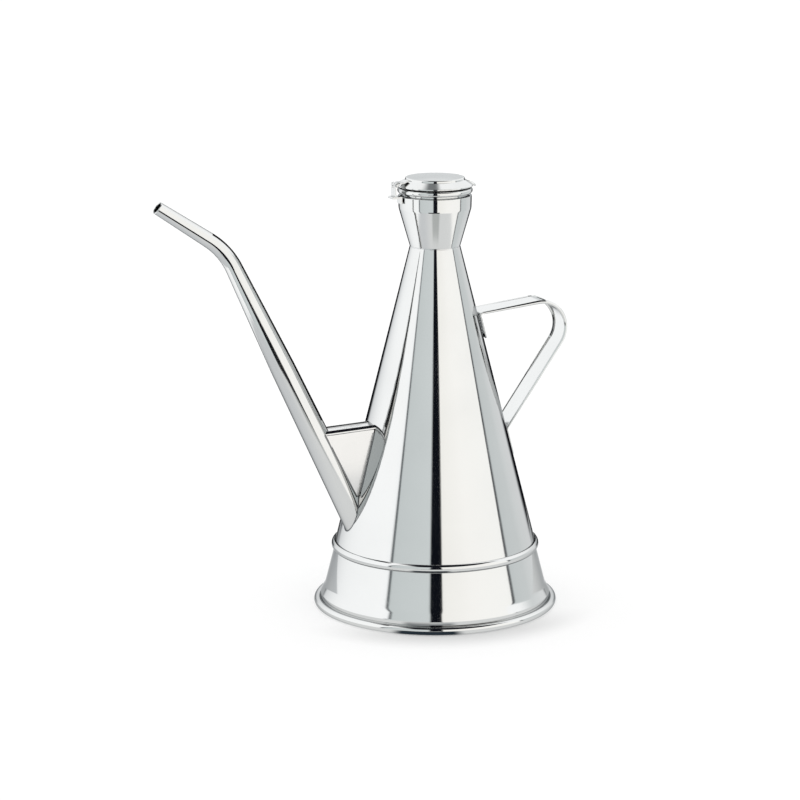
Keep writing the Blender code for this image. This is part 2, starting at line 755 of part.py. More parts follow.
LIP_REACH = MOUTH_RADIUS * sin(TIP_SLOPE + MOUTH_SLANT) / cos(MOUTH_SLANT)
SPOUT_REACH = LIP_REACH - spout_mouth()[0]
AXIS_X = (SPOUT_REACH - HANDLE_REACH) / 2
CAN = collection("stainless_steel_oil_can")
CUTTERS = collection("cutters", hidden=True)

line, radii = spout_line()
spout_room = weld(to_mesh(tube_curve("spout_cutter", line, [r + SEAT_GAP for r in radii])))
make_cone(spout_room)
make_skirt()
make_pan()
make_cup()
make_spout(line, radii)
make_gusset(spout_room)
make_handle()
make_bracket()
make_pin()
hinge_axis([make_lid(), make_leaf()])
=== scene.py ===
# %% [markdown]
# # A stainless steel oil can
# The real can is thin polished sheet: a rolled cone on a skirt, a funnel cup with a hinged lid,
# a long bent spout and a strap handle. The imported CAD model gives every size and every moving
# body. This lesson dresses it. Bright metal shows the room in its curves, so a coarse mesh would
# bend each reflection. The large round pieces are therefore made again here from finer outlines,
# and the small flat ones keep their CAD shape and get softened edges.

# %% Load the frame
from math import asin, atan, atan2, cos, hypot, pi, radians, sin, tan

import bmesh
import bpy
from mathutils import Matrix, Vector


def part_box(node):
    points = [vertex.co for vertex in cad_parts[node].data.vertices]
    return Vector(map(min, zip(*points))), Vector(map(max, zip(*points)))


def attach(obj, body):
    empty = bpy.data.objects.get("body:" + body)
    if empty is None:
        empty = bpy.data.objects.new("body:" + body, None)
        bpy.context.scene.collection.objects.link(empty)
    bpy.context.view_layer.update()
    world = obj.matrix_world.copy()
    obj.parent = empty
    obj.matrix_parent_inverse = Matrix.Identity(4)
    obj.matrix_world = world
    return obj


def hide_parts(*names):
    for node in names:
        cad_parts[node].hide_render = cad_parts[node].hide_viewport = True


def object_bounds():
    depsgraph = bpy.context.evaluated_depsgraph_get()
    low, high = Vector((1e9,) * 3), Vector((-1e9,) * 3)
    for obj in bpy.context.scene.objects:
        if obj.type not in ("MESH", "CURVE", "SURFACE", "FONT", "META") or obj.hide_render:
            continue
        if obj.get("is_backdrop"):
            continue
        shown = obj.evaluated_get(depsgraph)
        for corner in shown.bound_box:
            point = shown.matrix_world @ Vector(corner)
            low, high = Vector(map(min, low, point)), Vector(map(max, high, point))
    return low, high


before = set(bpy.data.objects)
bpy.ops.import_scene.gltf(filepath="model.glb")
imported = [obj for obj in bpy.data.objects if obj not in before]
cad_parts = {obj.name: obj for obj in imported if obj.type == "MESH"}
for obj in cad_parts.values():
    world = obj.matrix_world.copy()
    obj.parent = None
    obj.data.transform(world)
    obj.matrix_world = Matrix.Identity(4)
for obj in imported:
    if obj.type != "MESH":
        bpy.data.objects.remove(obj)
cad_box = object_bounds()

MM = 0.001
cone_low, cone_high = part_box("cone_body")
AXIS_X = (cone_low.x + cone_high.x) / 2 / MM
print("nodes:", len(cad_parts), "axis of the can at x =", round(AXIS_X, 3), "mm")

# %% [markdown]
# ## How the pieces are drawn
# All sizes below are millimetres measured from the can's own axis, as a turner would write them.
# An outline is a list of (radius, height) points. A sharp corner on a sheet metal part is never
# quite sharp, and a mirror finish shows it, so corners are rounded with a short arc of points.

# %% Arcs and rounded corners
def arc(middle, radius, start, end, count):
    """Points round a circle from one angle to another, in degrees."""
    turns = [radians(start + (end - start) * i / count) for i in range(count + 1)]
    return [(middle[0] + radius * cos(t), middle[1] + radius * sin(t)) for t in turns]


def soften(points, radius, count=4, closed=False):
    """The outline with every corner turned into a small arc. A point may bring its own radius."""
    made = []
    last = len(points) - 1
    for i, point in enumerate(points):
        here = Vector(point[:2])
        size = point[2] if len(point) > 2 else radius
        if (not closed and i in (0, last)) or size == 0:
            made.append(tuple(here))
            continue
        before = Vector(points[i - 1][:2]) - here
        after = Vector(points[(i + 1) % len(points)][:2]) - here
        angle = before.angle(after)
        if angle > radians(179.5):
            made.append(tuple(here))
            continue
        back = min(size / tan(angle / 2), 0.45 * before.length, 0.45 * after.length)
        size = back * tan(angle / 2)
        middle = here + (before.normalized() + after.normalized()).normalized() * size / sin(angle / 2)
        first = here + before.normalized() * back - middle
        sweep = first.angle_signed(here + after.normalized() * back - middle)
        for k in range(count + 1):
            spoke = first.copy()
            spoke.rotate(Matrix.Rotation(-sweep * k / count, 2))
            made.append(tuple(middle + spoke))
    return made


# %% [markdown]
# ## From outline to solid
# A turned piece could come from a Screw modifier. Writing the rings directly is as short, and lets
# each point carry its place on the unrolled sheet in an attribute named grain. The finish later
# follows that attribute, so its fine lines run the way the real sheet was rolled and polished.
# The Weighted Normal modifier keeps long faces straight in the reflections next to small bends.

# %% Build a piece from rings of points
def steel_piece(name, points, faces, grain, sharp=40):
    """A mesh object from points in mm round the can's axis, with its grain and smooth shading."""
    mesh = bpy.data.meshes.new(name)
    mesh.from_pydata([((x + AXIS_X) * MM, y * MM, z * MM) for x, y, z in points], [], faces)
    layer = mesh.attributes.new("grain", "FLOAT_VECTOR", "POINT")
    layer.data.foreach_set("vector", [c * MM for g in grain for c in g])
    work = bmesh.new()
    work.from_mesh(mesh)
    bmesh.ops.remove_doubles(work, verts=work.verts, dist=0.000001)
    bmesh.ops.recalc_face_normals(work, faces=work.faces)
    work.to_mesh(mesh)
    work.free()
    mesh.shade_smooth()
    mesh.set_sharp_from_angle(angle=radians(sharp))
    piece = bpy.data.objects.new(name, mesh)
    bpy.context.scene.collection.objects.link(piece)
    weighted = piece.modifiers.new("true_reflections", "WEIGHTED_NORMAL")
    weighted.keep_sharp = True
    print(name, len(mesh.polygons), "faces")
    return piece


# %% Faces between rings, and turned pieces
def ring_faces(rings, around, close_rings, close_around=True):
    """Quads between neighbouring rings that all have the same number of points."""
    faces = []
    spans = around if close_around else around - 1
    for r in range(rings if close_rings else rings - 1):
        low, high = r * around, ((r + 1) % rings) * around
        for i in range(spans):
            j = (i + 1) % around
            faces.append((low + i, low + j, high + j, high + i))
    return faces


def closed_sweep(rings, around):
    """Quads between neighbouring rings, with one face over each end."""
    last = (rings - 1) * around
    ends = [tuple(range(around)), tuple(range(last, last + around))]
    return ring_faces(rings, around, False) + ends


def turned(name, outline, steps=240, closed=True, grain_radius=20):
    """A piece turned round the can's axis from an outline of (radius, height) points."""
    points = []
    grain = []
    along = 0
    for i, (radius, height) in enumerate(outline):
        if i:
            along += hypot(radius - outline[i - 1][0], height - outline[i - 1][1])
        for k in range(steps):
            turn = 2 * pi * k / steps
            points.append((radius * cos(turn), radius * sin(turn), height))
            grain.append((grain_radius * cos(turn), grain_radius * sin(turn), along))
    return steel_piece(name, points, ring_faces(len(outline), steps, closed), grain)


# %% [markdown]
# ## The cone
# The vessel is one sheet rolled into a cone and welded up the back. It could be a plain cone
# primitive, but the sheet has a thickness that shows in the neck, so its outline goes up the
# outside and down the inside. The radius grows by 0.2519 for each millimetre down.

# %% Cone wall
SHEET = 0.5
SOLDER_GAP = 0.3
TAPER = 0.2519
CONE_TOP = (11.27, 163.8)
CONE_LOW_Z = 26.8


def cone_radius(height):
    """The cone's outer radius at a height."""
    return CONE_TOP[0] + TAPER * (CONE_TOP[1] - height)


wall = SHEET / cos(atan(TAPER))
cone_outline = soften([
    CONE_TOP,
    (cone_radius(CONE_LOW_Z), CONE_LOW_Z),
    (cone_radius(CONE_LOW_Z) - wall, CONE_LOW_Z),
    (CONE_TOP[0] - wall, CONE_TOP[1]),
], 0.12, 3, closed=True)
cone = turned("cone_wall", cone_outline)
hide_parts("cone_body")
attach(cone, "can")

# %% [markdown]
# ## The skirt
# The lower band is spun in one piece: a half round bead grips the end of the cone, the wall goes
# on down at the cone's slope, flares, and its edge is rolled outwards. The bead and the roll
# catch bright lines in the photograph, so both get many points. A bevelled ring would be quicker,
# but the crease where the wall runs into the roll would be lost.

# %% Skirt with bead, flare and rolled foot
BEAD_Z = 27.7
BEAD_R = 2.1
BEAD_TURN = 65
FLARE_Z = 9.1
FOOT_R = 55
ROLL_R = 1.8
lip = BEAD_R - SHEET
lip_z = BEAD_Z + lip * sin(radians(BEAD_TURN))
bead_middle = (cone_radius(lip_z) + SOLDER_GAP - lip * cos(radians(BEAD_TURN)), BEAD_Z)
roll_middle = (FOOT_R - ROLL_R, ROLL_R)
flare_top = (cone_radius(FLARE_Z) - 0.3, FLARE_Z)
bead_out = arc(bead_middle, BEAD_R, BEAD_TURN, -BEAD_TURN, 16)
bead_in = arc(bead_middle, lip, -BEAD_TURN, BEAD_TURN, 12)
roll = arc(roll_middle, ROLL_R, 132, -82, 22)
skirt_side = soften([bead_out[-1], (*flare_top, 7), (51.9, 5.4, 0.8), roll[0]], 0.3, 6)
inner_side = soften([
    (roll_middle[0] - ROLL_R, ROLL_R + 0.9),
    (51.35, 5.65, 0.8),
    (flare_top[0] - wall, flare_top[1], 7),
    bead_in[0],
], 0.3, 5)
skirt_outline = (bead_out[:-1] + skirt_side[:-1] + roll + [(roll_middle[0] - 0.5, 0)]
                 + arc(roll_middle, ROLL_R, 262, 180, 8)[1:] + inner_side[:-1] + bead_in)
skirt = turned("skirt", skirt_outline)
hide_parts("foot_skirt")
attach(skirt, "can")

# %% [markdown]
# ## The filler cup
# A funnel is spun from sheet: a straight spigot slides into the cone's top, the taper opens to a
# soft knee, and the upright wall ends in a rim rolled inwards over itself. The knee is what
# breaks the reflections in two in the photograph, so it is a real arc and not a hard corner.

# %% Filler cup with rolled rim
CUP_BASE_Z = CONE_TOP[1] + SOLDER_GAP
KNEE_Z = CUP_BASE_Z + 15.1
RIM_Z = KNEE_Z + 9.66
RIM_R = 16.65
RIM_ROLL_R = 1.2
CUP_R = 16.15
SPIGOT_END = CUP_BASE_Z - 7.1
rim_middle = (RIM_R - RIM_ROLL_R, RIM_Z)
spigot_r = CONE_TOP[0] - SHEET - SOLDER_GAP
cup_out = soften([
    (14.8, RIM_Z - 1.2),
    (14.7, RIM_Z - 1.95, 0.15),
    (16.3, RIM_Z - 2.3, 0.2),
    (CUP_R, KNEE_Z + 1.75, 3.2),
    (CONE_TOP[0], CUP_BASE_Z, 0.15),
    (spigot_r, CUP_BASE_Z, 0.1),
    (spigot_r, SPIGOT_END, 0.1),
    (spigot_r - SHEET, SPIGOT_END, 0.1),
    (spigot_r - SHEET, CUP_BASE_Z + 0.3, 1),
    (CONE_TOP[0] - 0.35, CUP_BASE_Z + 0.75, 1),
    (CUP_R - SHEET, KNEE_Z + 1.85, 2.8),
    (15.8, RIM_Z - 2.85, 0.6),
    (14.2, RIM_Z - 2.2, 0.2),
    (14.2, RIM_Z - 1.0),
], 0.2, 8)
rim_roll = arc(rim_middle, RIM_ROLL_R, -150, -455, 36)
cup = turned("filler_cup_wall", cup_out + rim_roll)
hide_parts("filler_cup")
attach(cup, "can")

# %% [markdown]
# ## The lid
# One pressing: a nearly flat top, a small step, a sloping shoulder and an edge folded under. The
# thumb tab is an ear left on the blank and turned down. It could be cut from the same outline,
# but a separate curved sheet is easier to shape, and it sits tight on the shoulder.

# %% Lid pressing
LID_Z = RIM_Z + RIM_ROLL_R + 0.3
LID_R = 16.8
STEP_R = 13.2
HEM_HEIGHT = 0.8
SHOULDER_RISE = 2.3
SHOULDER_Z = LID_Z + HEM_HEIGHT + SHOULDER_RISE
TOP_Z = SHOULDER_Z + 1.1
lid_outline = soften([
    (0, TOP_Z + 0.2, 0),
    (6, TOP_Z + 0.17, 20),
    (STEP_R - 0.1, TOP_Z, 0.95),
    (STEP_R + 0.05, SHOULDER_Z, 0.25),
    (LID_R - 0.02, LID_Z + 0.85, 0.2),
    (LID_R - 0.05, LID_Z + 0.45, 0.12),
    (LID_R - 0.75, LID_Z + 0.05, 0.1),
    (LID_R - 1.9, LID_Z, 0.2),
    (LID_R - 1.9, LID_Z + 1.35, 0.2),
    (STEP_R - 0.45, SHOULDER_Z - 0.5, 0.4),
    (STEP_R - 0.7, TOP_Z - 0.5, 0.3),
    (0, TOP_Z - 0.3, 0),
], 0.3, 6)
lid = turned("lid_pressing", lid_outline, closed=False, grain_radius=9)
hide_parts("lid")
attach(lid, "lid")

# %% [markdown]
# ## The thumb tab
# The ear is 7 mm wide, slopes down and has its rim turned down so that it doesn't cut the thumb.
# A grid of points is bent by two simple rules: height falls along the tab, and falls again fast
# near the edge. Solidify then gives it the sheet's thickness.

# %% Thumb tab
TAB_ROOT = STEP_R + 1.2
TAB_END = 19.3
TAB_HALF = 3.6
TAB_SLOPE = tan(radians(21))
TAB_LIP = 1.15
ROUND_FROM = 0.45
ACROSS = 16
ALONG = 16


def shoulder_height(radius):
    """The lid's height on its sloping shoulder."""
    return LID_Z + HEM_HEIGHT + SHOULDER_RISE * (LID_R - radius) / (LID_R - STEP_R)


tab_points = []
for i in range(ALONG + 1):
    share = i / ALONG
    x = TAB_ROOT + (TAB_END - TAB_ROOT) * share
    round_off = max(0.0, (share - ROUND_FROM) / (1 - ROUND_FROM))
    half = TAB_HALF * (1 - 0.45 * round_off**2.5)
    for k in range(ACROSS + 1):
        side = 2 * k / ACROSS - 1
        edge = max(abs(side) ** 6, share**7)
        drop = (x - TAB_ROOT) * TAB_SLOPE + TAB_LIP * edge * min(1.0, share * 1.6)
        tip = 0.55 * side * side * round_off
        tab_points.append((x - tip, half * side, shoulder_height(TAB_ROOT) + 0.12 - drop))
tab_faces = ring_faces(ALONG + 1, ACROSS + 1, False, False)
tab_grain = [(y, z, x) for x, y, z in tab_points]
tab = steel_piece("thumb_tab", tab_points, tab_faces, tab_grain, 60)
thick = tab.modifiers.new("sheet", "SOLIDIFY")
thick.thickness = 0.4 * MM
thick.offset = -1
tab.modifiers.move(1, 0)
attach(tab, "lid")

# %% [markdown]
# ## The spout
# A seamless tube is drawn to a long taper, bent once and cut nearly square. A curve with a bevel
# would give the tube, but not the wall seen in its mouth nor an end that fits the cone. So rings
# are laid along the middle line, the first ones tilt to the mouth's cut, and the last ones follow
# the cone.

# %% Spout line and width
ROOT_Z = 47.455
RUN_SLOPE = radians(64.64)
TIP_SLOPE = radians(34)
RUN_LENGTH = 133.406
TIP_LENGTH = 36.65
BEND_R = 33
MOUTH_SLANT = tan(radians(2))
run_way = Vector((cos(RUN_SLOPE), -sin(RUN_SLOPE)))
tip_way = Vector((cos(TIP_SLOPE), -sin(TIP_SLOPE)))
root = Vector((-cone_radius(ROOT_Z), ROOT_Z))
corner = root - run_way * RUN_LENGTH
mouth = corner - tip_way * TIP_LENGTH
bend_back = BEND_R * tan((RUN_SLOPE - TIP_SLOPE) / 2)
bend_length = BEND_R * (RUN_SLOPE - TIP_SLOPE)
BEND_START = TIP_LENGTH - bend_back
BEND_END = BEND_START + bend_length
SPOUT_END = BEND_END + RUN_LENGTH - bend_back
WIDTHS = [
    (0, 2.8),
    (BEND_START, 3.4),
    (BEND_END, 3.8),
    (BEND_END + 60 - bend_back, 5.5),
    (SPOUT_END + 14, 6.6),
]
print("spout:", round(SPOUT_END, 1), "mm along its middle line")


# %% Places on the spout
def spout_place(length):
    """Middle point and direction of the spout at a distance from its mouth."""
    if length < BEND_START:
        return mouth + tip_way * length, tip_way
    if length > BEND_END:
        return root - run_way * (SPOUT_END - length), run_way
    slope = TIP_SLOPE + (length - BEND_START) / BEND_R
    start = corner - tip_way * bend_back
    side = Vector((-sin(TIP_SLOPE), -cos(TIP_SLOPE)))
    middle = start + side * BEND_R
    return middle + Vector((sin(slope), cos(slope))) * BEND_R, Vector((cos(slope), -sin(slope)))


def spout_width(length):
    """The tube's outer radius at a distance from its mouth."""
    for (low, first), (high, last) in zip(WIDTHS, WIDTHS[1:]):
        if length <= high or high == WIDTHS[-1][0]:
            return first + (last - first) * (length - low) / (high - low)


def spout_point(length, turn, thinner=0.0):
    """A point on the tube. Turn 0 is the upper side and the middle line lies at Y = 0."""
    middle, way = spout_place(length)
    radius = spout_width(length) - thinner
    upper = Vector((-way.y, way.x))
    flat = middle + upper * radius * cos(turn)
    return (flat.x, radius * sin(turn), flat.y)


# %% Where the tube meets the cone
def last_true(low, high, test):
    """Halves a span again and again to find where a test stops being true."""
    for _ in range(40):
        middle = (low + high) / 2
        if test(middle):
            low = middle
        else:
            high = middle
    return low


def to_cone(turn, stand_off, thinner=0.0):
    """How far from the mouth the tube's line at this turn meets a cone that stands off the real one."""
    def outside(length):
        x, y, z = spout_point(length, turn, thinner)
        return hypot(x, y) > cone_radius(z) + stand_off

    return last_true(SPOUT_END - 40, SPOUT_END + 40, outside)


print("the tube's upper side meets the cone", round(to_cone(0, 0.0), 1), "mm from the mouth")

# %% Spout tube
SIDES = 64
TUBE_WALL = 0.5
SINK = 2.7
LIP = 1.2
OVAL_FROM = SPOUT_END - 16


def spout_ring(length, thinner, at_mouth=False, at_cone=False):
    """One ring of points and its grain. The mouth's rings are slanted, and the last follow the cone."""
    points, marks = [], []
    for k in range(SIDES):
        turn = 2 * pi * k / SIDES
        here = length
        if at_mouth:
            here = length + MOUTH_SLANT * (spout_width(0) - thinner) * cos(turn)
        if at_cone:
            here = to_cone(turn, -SINK, thinner)
        points.append(spout_point(here, turn, thinner))
        marks.append((4 * cos(turn), 4 * sin(turn), here))
    return points, marks


lengths = [LIP + (BEND_START - LIP) * i / 6 for i in range(7)]
lengths += [BEND_START + bend_length * i / 20 for i in range(1, 21)]
lengths += [BEND_END + (OVAL_FROM - BEND_END) * i / 30 for i in range(1, 31)]
rings = [spout_ring(0.22, 0.0, at_mouth=True), spout_ring(0.55, 0.0, at_mouth=True)]
rings += [spout_ring(length, 0.0) for length in lengths]
rings += [spout_ring(0, 0.0, at_cone=True), spout_ring(0, TUBE_WALL, at_cone=True)]
rings += [spout_ring(length, TUBE_WALL) for length in lengths[::-1]]
rings += [spout_ring(0.2, TUBE_WALL, at_mouth=True), spout_ring(0.02, TUBE_WALL - 0.18, at_mouth=True)]
rings += [spout_ring(0.02, 0.16, at_mouth=True)]
spout = steel_piece("spout_tube", [p for r, _ in rings for p in r],
                    ring_faces(len(rings), SIDES, True), [g for _, m in rings for g in m])
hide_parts("spout")
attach(spout, "can")

# %% [markdown]
# ## The handle
# The strap is one strip with both edges hemmed into ridges. It lies on the cone, bends out, runs up
# to a round corner, falls back and lies on the cone again. A curve with a bevel object could carry
# one section along, but the strap's feet need another. So each cross section is drawn flat and
# placed on the strip's line. Where the strip lies on the cone it is also wrapped round it, and its
# hems are hammered flat there.

# %% Handle line
STRAP_WIDTH = 14
STRAP_SHEET = 0.6
RISE_DEGREES = 7.2
FALL_DEGREES = 54.5
RISE = radians(RISE_DEGREES)
FALL = radians(FALL_DEGREES)
CORNER_R = 13.1
HANDLE_REACH = 62.2
TOP_Z_ON_CONE = 133.0
corner_x = HANDLE_REACH - CORNER_R
corner_z = TOP_Z_ON_CONE + (corner_x - cone_radius(TOP_Z_ON_CONE)) * tan(RISE)
corner_middle = Vector((corner_x, corner_z - CORNER_R / cos(RISE)))
round_corner = arc(corner_middle, CORNER_R, 90 + RISE_DEGREES, FALL_DEGREES - 90, 28)
low_start = Vector(round_corner[-1])
fall_way = Vector((-cos(FALL), -sin(FALL)))
fall = (low_start.x - cone_radius(low_start.y)) / (cos(FALL) + TAPER * sin(FALL))
low_foot = low_start + fall_way * fall
FOOT_LENGTH = 12
FOOT_STAND = SOLDER_GAP + STRAP_SHEET


def on_cone(height):
    """A point of the strip's line where it lies on the cone."""
    return (cone_radius(height) + FOOT_STAND * 1.03, height)


FOOT_STEPS = (0, 0.1, 0.35, 0.8, 1.4, 2.5, 6)
FOOT_CORNER = 2.5
handle_points = [on_cone(TOP_Z_ON_CONE - FOOT_LENGTH + step) for step in FOOT_STEPS]
handle_points += [(*on_cone(TOP_Z_ON_CONE + 0.2), 1.6)]
handle_line = soften(handle_points + [round_corner[0]], 1.6, 8)[:-1] + round_corner
end_points = [round_corner[-1], (*on_cone(low_foot.y + 0.6), 2.0)]
end_points += [on_cone(low_foot.y - FOOT_LENGTH + step) for step in FOOT_STEPS[::-1]]
handle_line += soften(end_points, 2.0, 8)[1:]
print("handle line:", len(handle_line), "points, low foot at", round(low_foot.y, 1), "mm")

# %% Section of the strap
FACE_DROP = 0.3
FACE_EDGE = 4.6
HEM_DEPTH = 1.62


def strap_section(hem):
    """Across and depth of the strip's section. Hem 1 has ridges along the edges and 0 is flat."""
    half = STRAP_WIDTH / 2
    under = -FACE_DROP - STRAP_SHEET
    hemmed = soften([
        (FACE_EDGE, -FACE_DROP), (half - 1.45, -FACE_DROP), (half - 1.12, 0), (half - 0.65, 0),
        (half - 0.02, -0.6), (half - 0.02, -1.0), (half - 0.5, -HEM_DEPTH), (half - 0.95, -HEM_DEPTH),
        (half - 1.28, under), (FACE_EDGE, under),
    ], 0.12, 3)
    edge = STRAP_SHEET / 2
    middle = half - edge
    flat = [(FACE_EDGE + (middle - FACE_EDGE) * i / 9, 0) for i in range(10)]
    flat += arc((middle, -edge), edge, 90, -90, 17)
    flat += [(middle + (FACE_EDGE - middle) * i / 6, -STRAP_SHEET) for i in range(1, 7)]
    right = [(a[0] * hem + b[0] * (1 - hem), a[1] * hem + b[1] * (1 - hem)) for a, b in zip(hemmed, flat)]
    left = [(-x, y) for x, y in right[::-1]]
    drop = FACE_DROP * hem
    return [(0, -drop)] + right + [(0, -STRAP_SHEET - drop)] + left


def smooth_step(value):
    """From 0 to 1 with a soft start and end."""
    value = min(1.0, max(0.0, value))
    return value * value * (3 - 2 * value)


print("strap section:", len(strap_section(1)), "points,", STRAP_WIDTH, "mm across")

# %% Handle strap
whole = sum((Vector(b) - Vector(a)).length for a, b in zip(handle_line, handle_line[1:]))
strap_points, strap_grain = [], []
along = 0
for i, point in enumerate(handle_line):
    here = Vector(point)
    before = Vector(handle_line[max(i - 1, 0)])
    after = Vector(handle_line[min(i + 1, len(handle_line) - 1)])
    if i:
        along += (here - before).length
    way = (after - before).normalized()
    outward = Vector((-way.y, way.x))
    distance = cone_radius(here.y) + FOOT_STAND
    lying = 1 - smooth_step((here.x - distance - 0.1) / 4.0)
    short = max(0.0, FOOT_CORNER - min(along, whole - along))
    narrow = 1 - (FOOT_CORNER - (FOOT_CORNER**2 - short**2) ** 0.5) / (STRAP_WIDTH / 2)
    section = strap_section(1 - lying)
    for across, depth in section:
        across *= narrow
        flat = here + outward * depth
        wrap = (distance - (distance**2 - across**2) ** 0.5) * lying
        strap_points.append((flat.x - wrap, across, flat.y))
        strap_grain.append((across, depth, along))
strap_faces = closed_sweep(len(handle_line), len(section))
strap = steel_piece("handle_strip", strap_points, strap_faces, strap_grain)
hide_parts("handle_strap")
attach(strap, "can")

# %% [markdown]
# ## Solder round the spout's foot
# Solder creeps into the corner between two pieces and sets as a hollow fillet. It could be left
# out at this size, but a mirror finish ends in a ragged gap without it. Round the spout's foot it
# is given a dark, rough finish and draws a thin dark oval, so it follows the line where the tube
# enters the cone.

# %% Hollow fillets
def hollow(first, second, corner, steps):
    """Points of a hollow curve between two surfaces, drawn towards the corner between them."""
    shares = [i / steps for i in range(steps + 1)]
    return [first * (1 - t) ** 2 + corner * 2 * t * (1 - t) + second * t**2 for t in shares]


def fillet_ring(name, first_side, second_side, corner_side, grain_radius):
    """A closed ring of hollow fillet between two lines of points, with its back in the corner."""
    steps = 6
    sides = zip(first_side, second_side, corner_side)
    columns = [hollow(Vector(a), Vector(b), Vector(c), steps) for a, b, c in sides]
    points = [column[s] for s in range(steps + 1) for column in columns] + corner_side
    count = len(corner_side)
    marks = []
    for s in range(steps + 1):
        for k in range(count):
            turn = 2 * pi * k / count
            marks.append((grain_radius * cos(turn), grain_radius * sin(turn), 2 * s / steps))
    marks += [(grain_radius, 0, 3)] * count
    return steel_piece(name, points, ring_faces(steps + 2, count, True), marks)


def cone_point(turn, height, stand_off=0.0):
    """A point on the cone, or on a wider one that stands off it."""
    radius = cone_radius(height) + stand_off
    return (radius * cos(turn), radius * sin(turn), height)


# %% Solder round the spout's foot
FILLET = 0.5
OVAL_POINTS = 96
oval_turns = [2 * pi * k / OVAL_POINTS for k in range(OVAL_POINTS)]
meet = [Vector(spout_point(to_cone(t, 0.0), t)) for t in oval_turns]
up_tube = [spout_point(to_cone(t, 0.0) - FILLET, t) for t in oval_turns]
centre = sum(meet, Vector()) / OVAL_POINTS
centre.y = 0
on_wall = []
for point in meet:
    spread = point + (point - centre).normalized() * FILLET
    on_wall.append(cone_point(atan2(spread.y, spread.x), spread.z, 0.01))
sunk = [point + (centre - point).normalized() * 0.15 for point in meet]
solder = fillet_ring("spout_solder", up_tube, on_wall, sunk, 7)
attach(solder, "can")

# %% [markdown]
# ## The gusset's nose and its hemmed top
# The gusset is a folded bridge between spout and cone. The CAD solid stops short of the tube, and
# its top is plain. The real sheet is trimmed to the tube's round, and has a ridge along each fold
# that shows as a thin dark line. Cutting the CAD mesh would need a Boolean. Two thin pieces do it
# with less risk: a nose that goes on to the tube, and a top whose ridges have flat flanks.

# %% Where the gusset meets the tube
GUSSET_HALF = 5.4
GUSSET_FOLD = 2.8
GUSSET_SHEET = 0.6
NOSE_X = -51.5
NOSE_TOP_Z = 84.35
NOSE_LOW_Z = 77.6
TOP_SLOPE = tan(radians(2.4))
TUBE_REACH = 5.0


def spout_side(across, height):
    """Where the spout's upper surface lies at a place across and a height."""
    across = min(abs(across), TUBE_REACH)

    def in_or_under_tube(x):
        along_run = Vector((x, height)) - root
        off = along_run - run_way * along_run.dot(run_way)
        above = off.dot(Vector((-run_way.y, run_way.x))) > 0
        width = spout_width(SPOUT_END + along_run.dot(run_way))
        return not (above and hypot(off.length, across) > width)

    return last_true(-75.0, NOSE_X + 6, in_or_under_tube)


print("the gusset's top meets the tube at x =", round(spout_side(0, NOSE_TOP_Z), 2), "mm")

# %% Gusset nose
def gusset_arch(thinner):
    """Over the gusset's section, from the foot of one wall to the foot of the other."""
    fold = (GUSSET_HALF - GUSSET_FOLD, NOSE_TOP_Z - GUSSET_FOLD)
    half = [(GUSSET_HALF - thinner, NOSE_LOW_Z)] + arc(fold, GUSSET_FOLD - thinner, 0, 90, 8)
    return half + [(-y, z) for y, z in half[::-1]]


nose_section = gusset_arch(0) + gusset_arch(GUSSET_SHEET)[::-1]
nose_points = [(NOSE_X, y, z) for y, z in nose_section]
for y, z in nose_section:
    reach = min(NOSE_X - 0.02, spout_side(y, z) - 0.15)
    nose_points.append((reach, y, z + (reach - NOSE_X) * TOP_SLOPE))
around = len(nose_section)
nose_faces = ring_faces(2, around, False)
for first in (0, around):
    for k in range(around // 2 - 1):
        across_end = first + around - 1 - k
        nose_faces.append((first + k, first + k + 1, across_end - 1, across_end))
nose = steel_piece("gusset_nose", nose_points, nose_faces, nose_points)
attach(nose, "can")

# %% Gusset top with a ridge along each fold
ridge = soften([
    (0, 0), (3.45, 0, 0.15), (4.05, 0.55, 0.12), (4.2, 0.55, 0.12), (5.2, -0.45, 0.2), (5.46, -1.0),
    (5.2, -1.05), (3.3, -0.9), (0, -0.9),
], 0.1, 3)
top_section = ridge + [(-y, z) for y, z in ridge[-2:0:-1]]
top_points = []
for y, z in top_section:
    x = spout_side(y, NOSE_TOP_Z + z) - 0.2
    top_points.append((x, y, NOSE_TOP_Z + z + (x - NOSE_X) * TOP_SLOPE))
for y, z in top_section:
    x = -((cone_radius(NOSE_TOP_Z + 0.8 + z)) ** 2 - y * y) ** 0.5 + 0.35
    top_points.append((x, y, NOSE_TOP_Z + z + (x - NOSE_X) * TOP_SLOPE))
gusset_top = steel_piece("gusset_top", top_points, closed_sweep(2, len(top_section)), top_points)
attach(gusset_top, "can")

# %% [markdown]
# ## The gusset's seams
# Each wall of the gusset is soldered to the tube along one edge and to the cone along the other.
# The same hollow fillet runs in both corners, and both sides of the can are alike, so one list of
# cross sections makes a front and a back seam.

# %% A seam on both sides
def seam_pair(name, stations):
    """Front and back seam from rings of points and their grain."""
    faces = closed_sweep(len(stations), len(stations[0][0]))
    grain = [mark for _, marks in stations for mark in marks]
    pair = []
    for side, label in ((-1, "front"), (1, "back")):
        points = [(p.x, p.y * side, p.z) for ring, _ in stations for p in ring]
        bead = steel_piece(f"{name}_{label}", points, faces, grain)
        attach(bead, "can")
        pair.append(bead)
    return pair


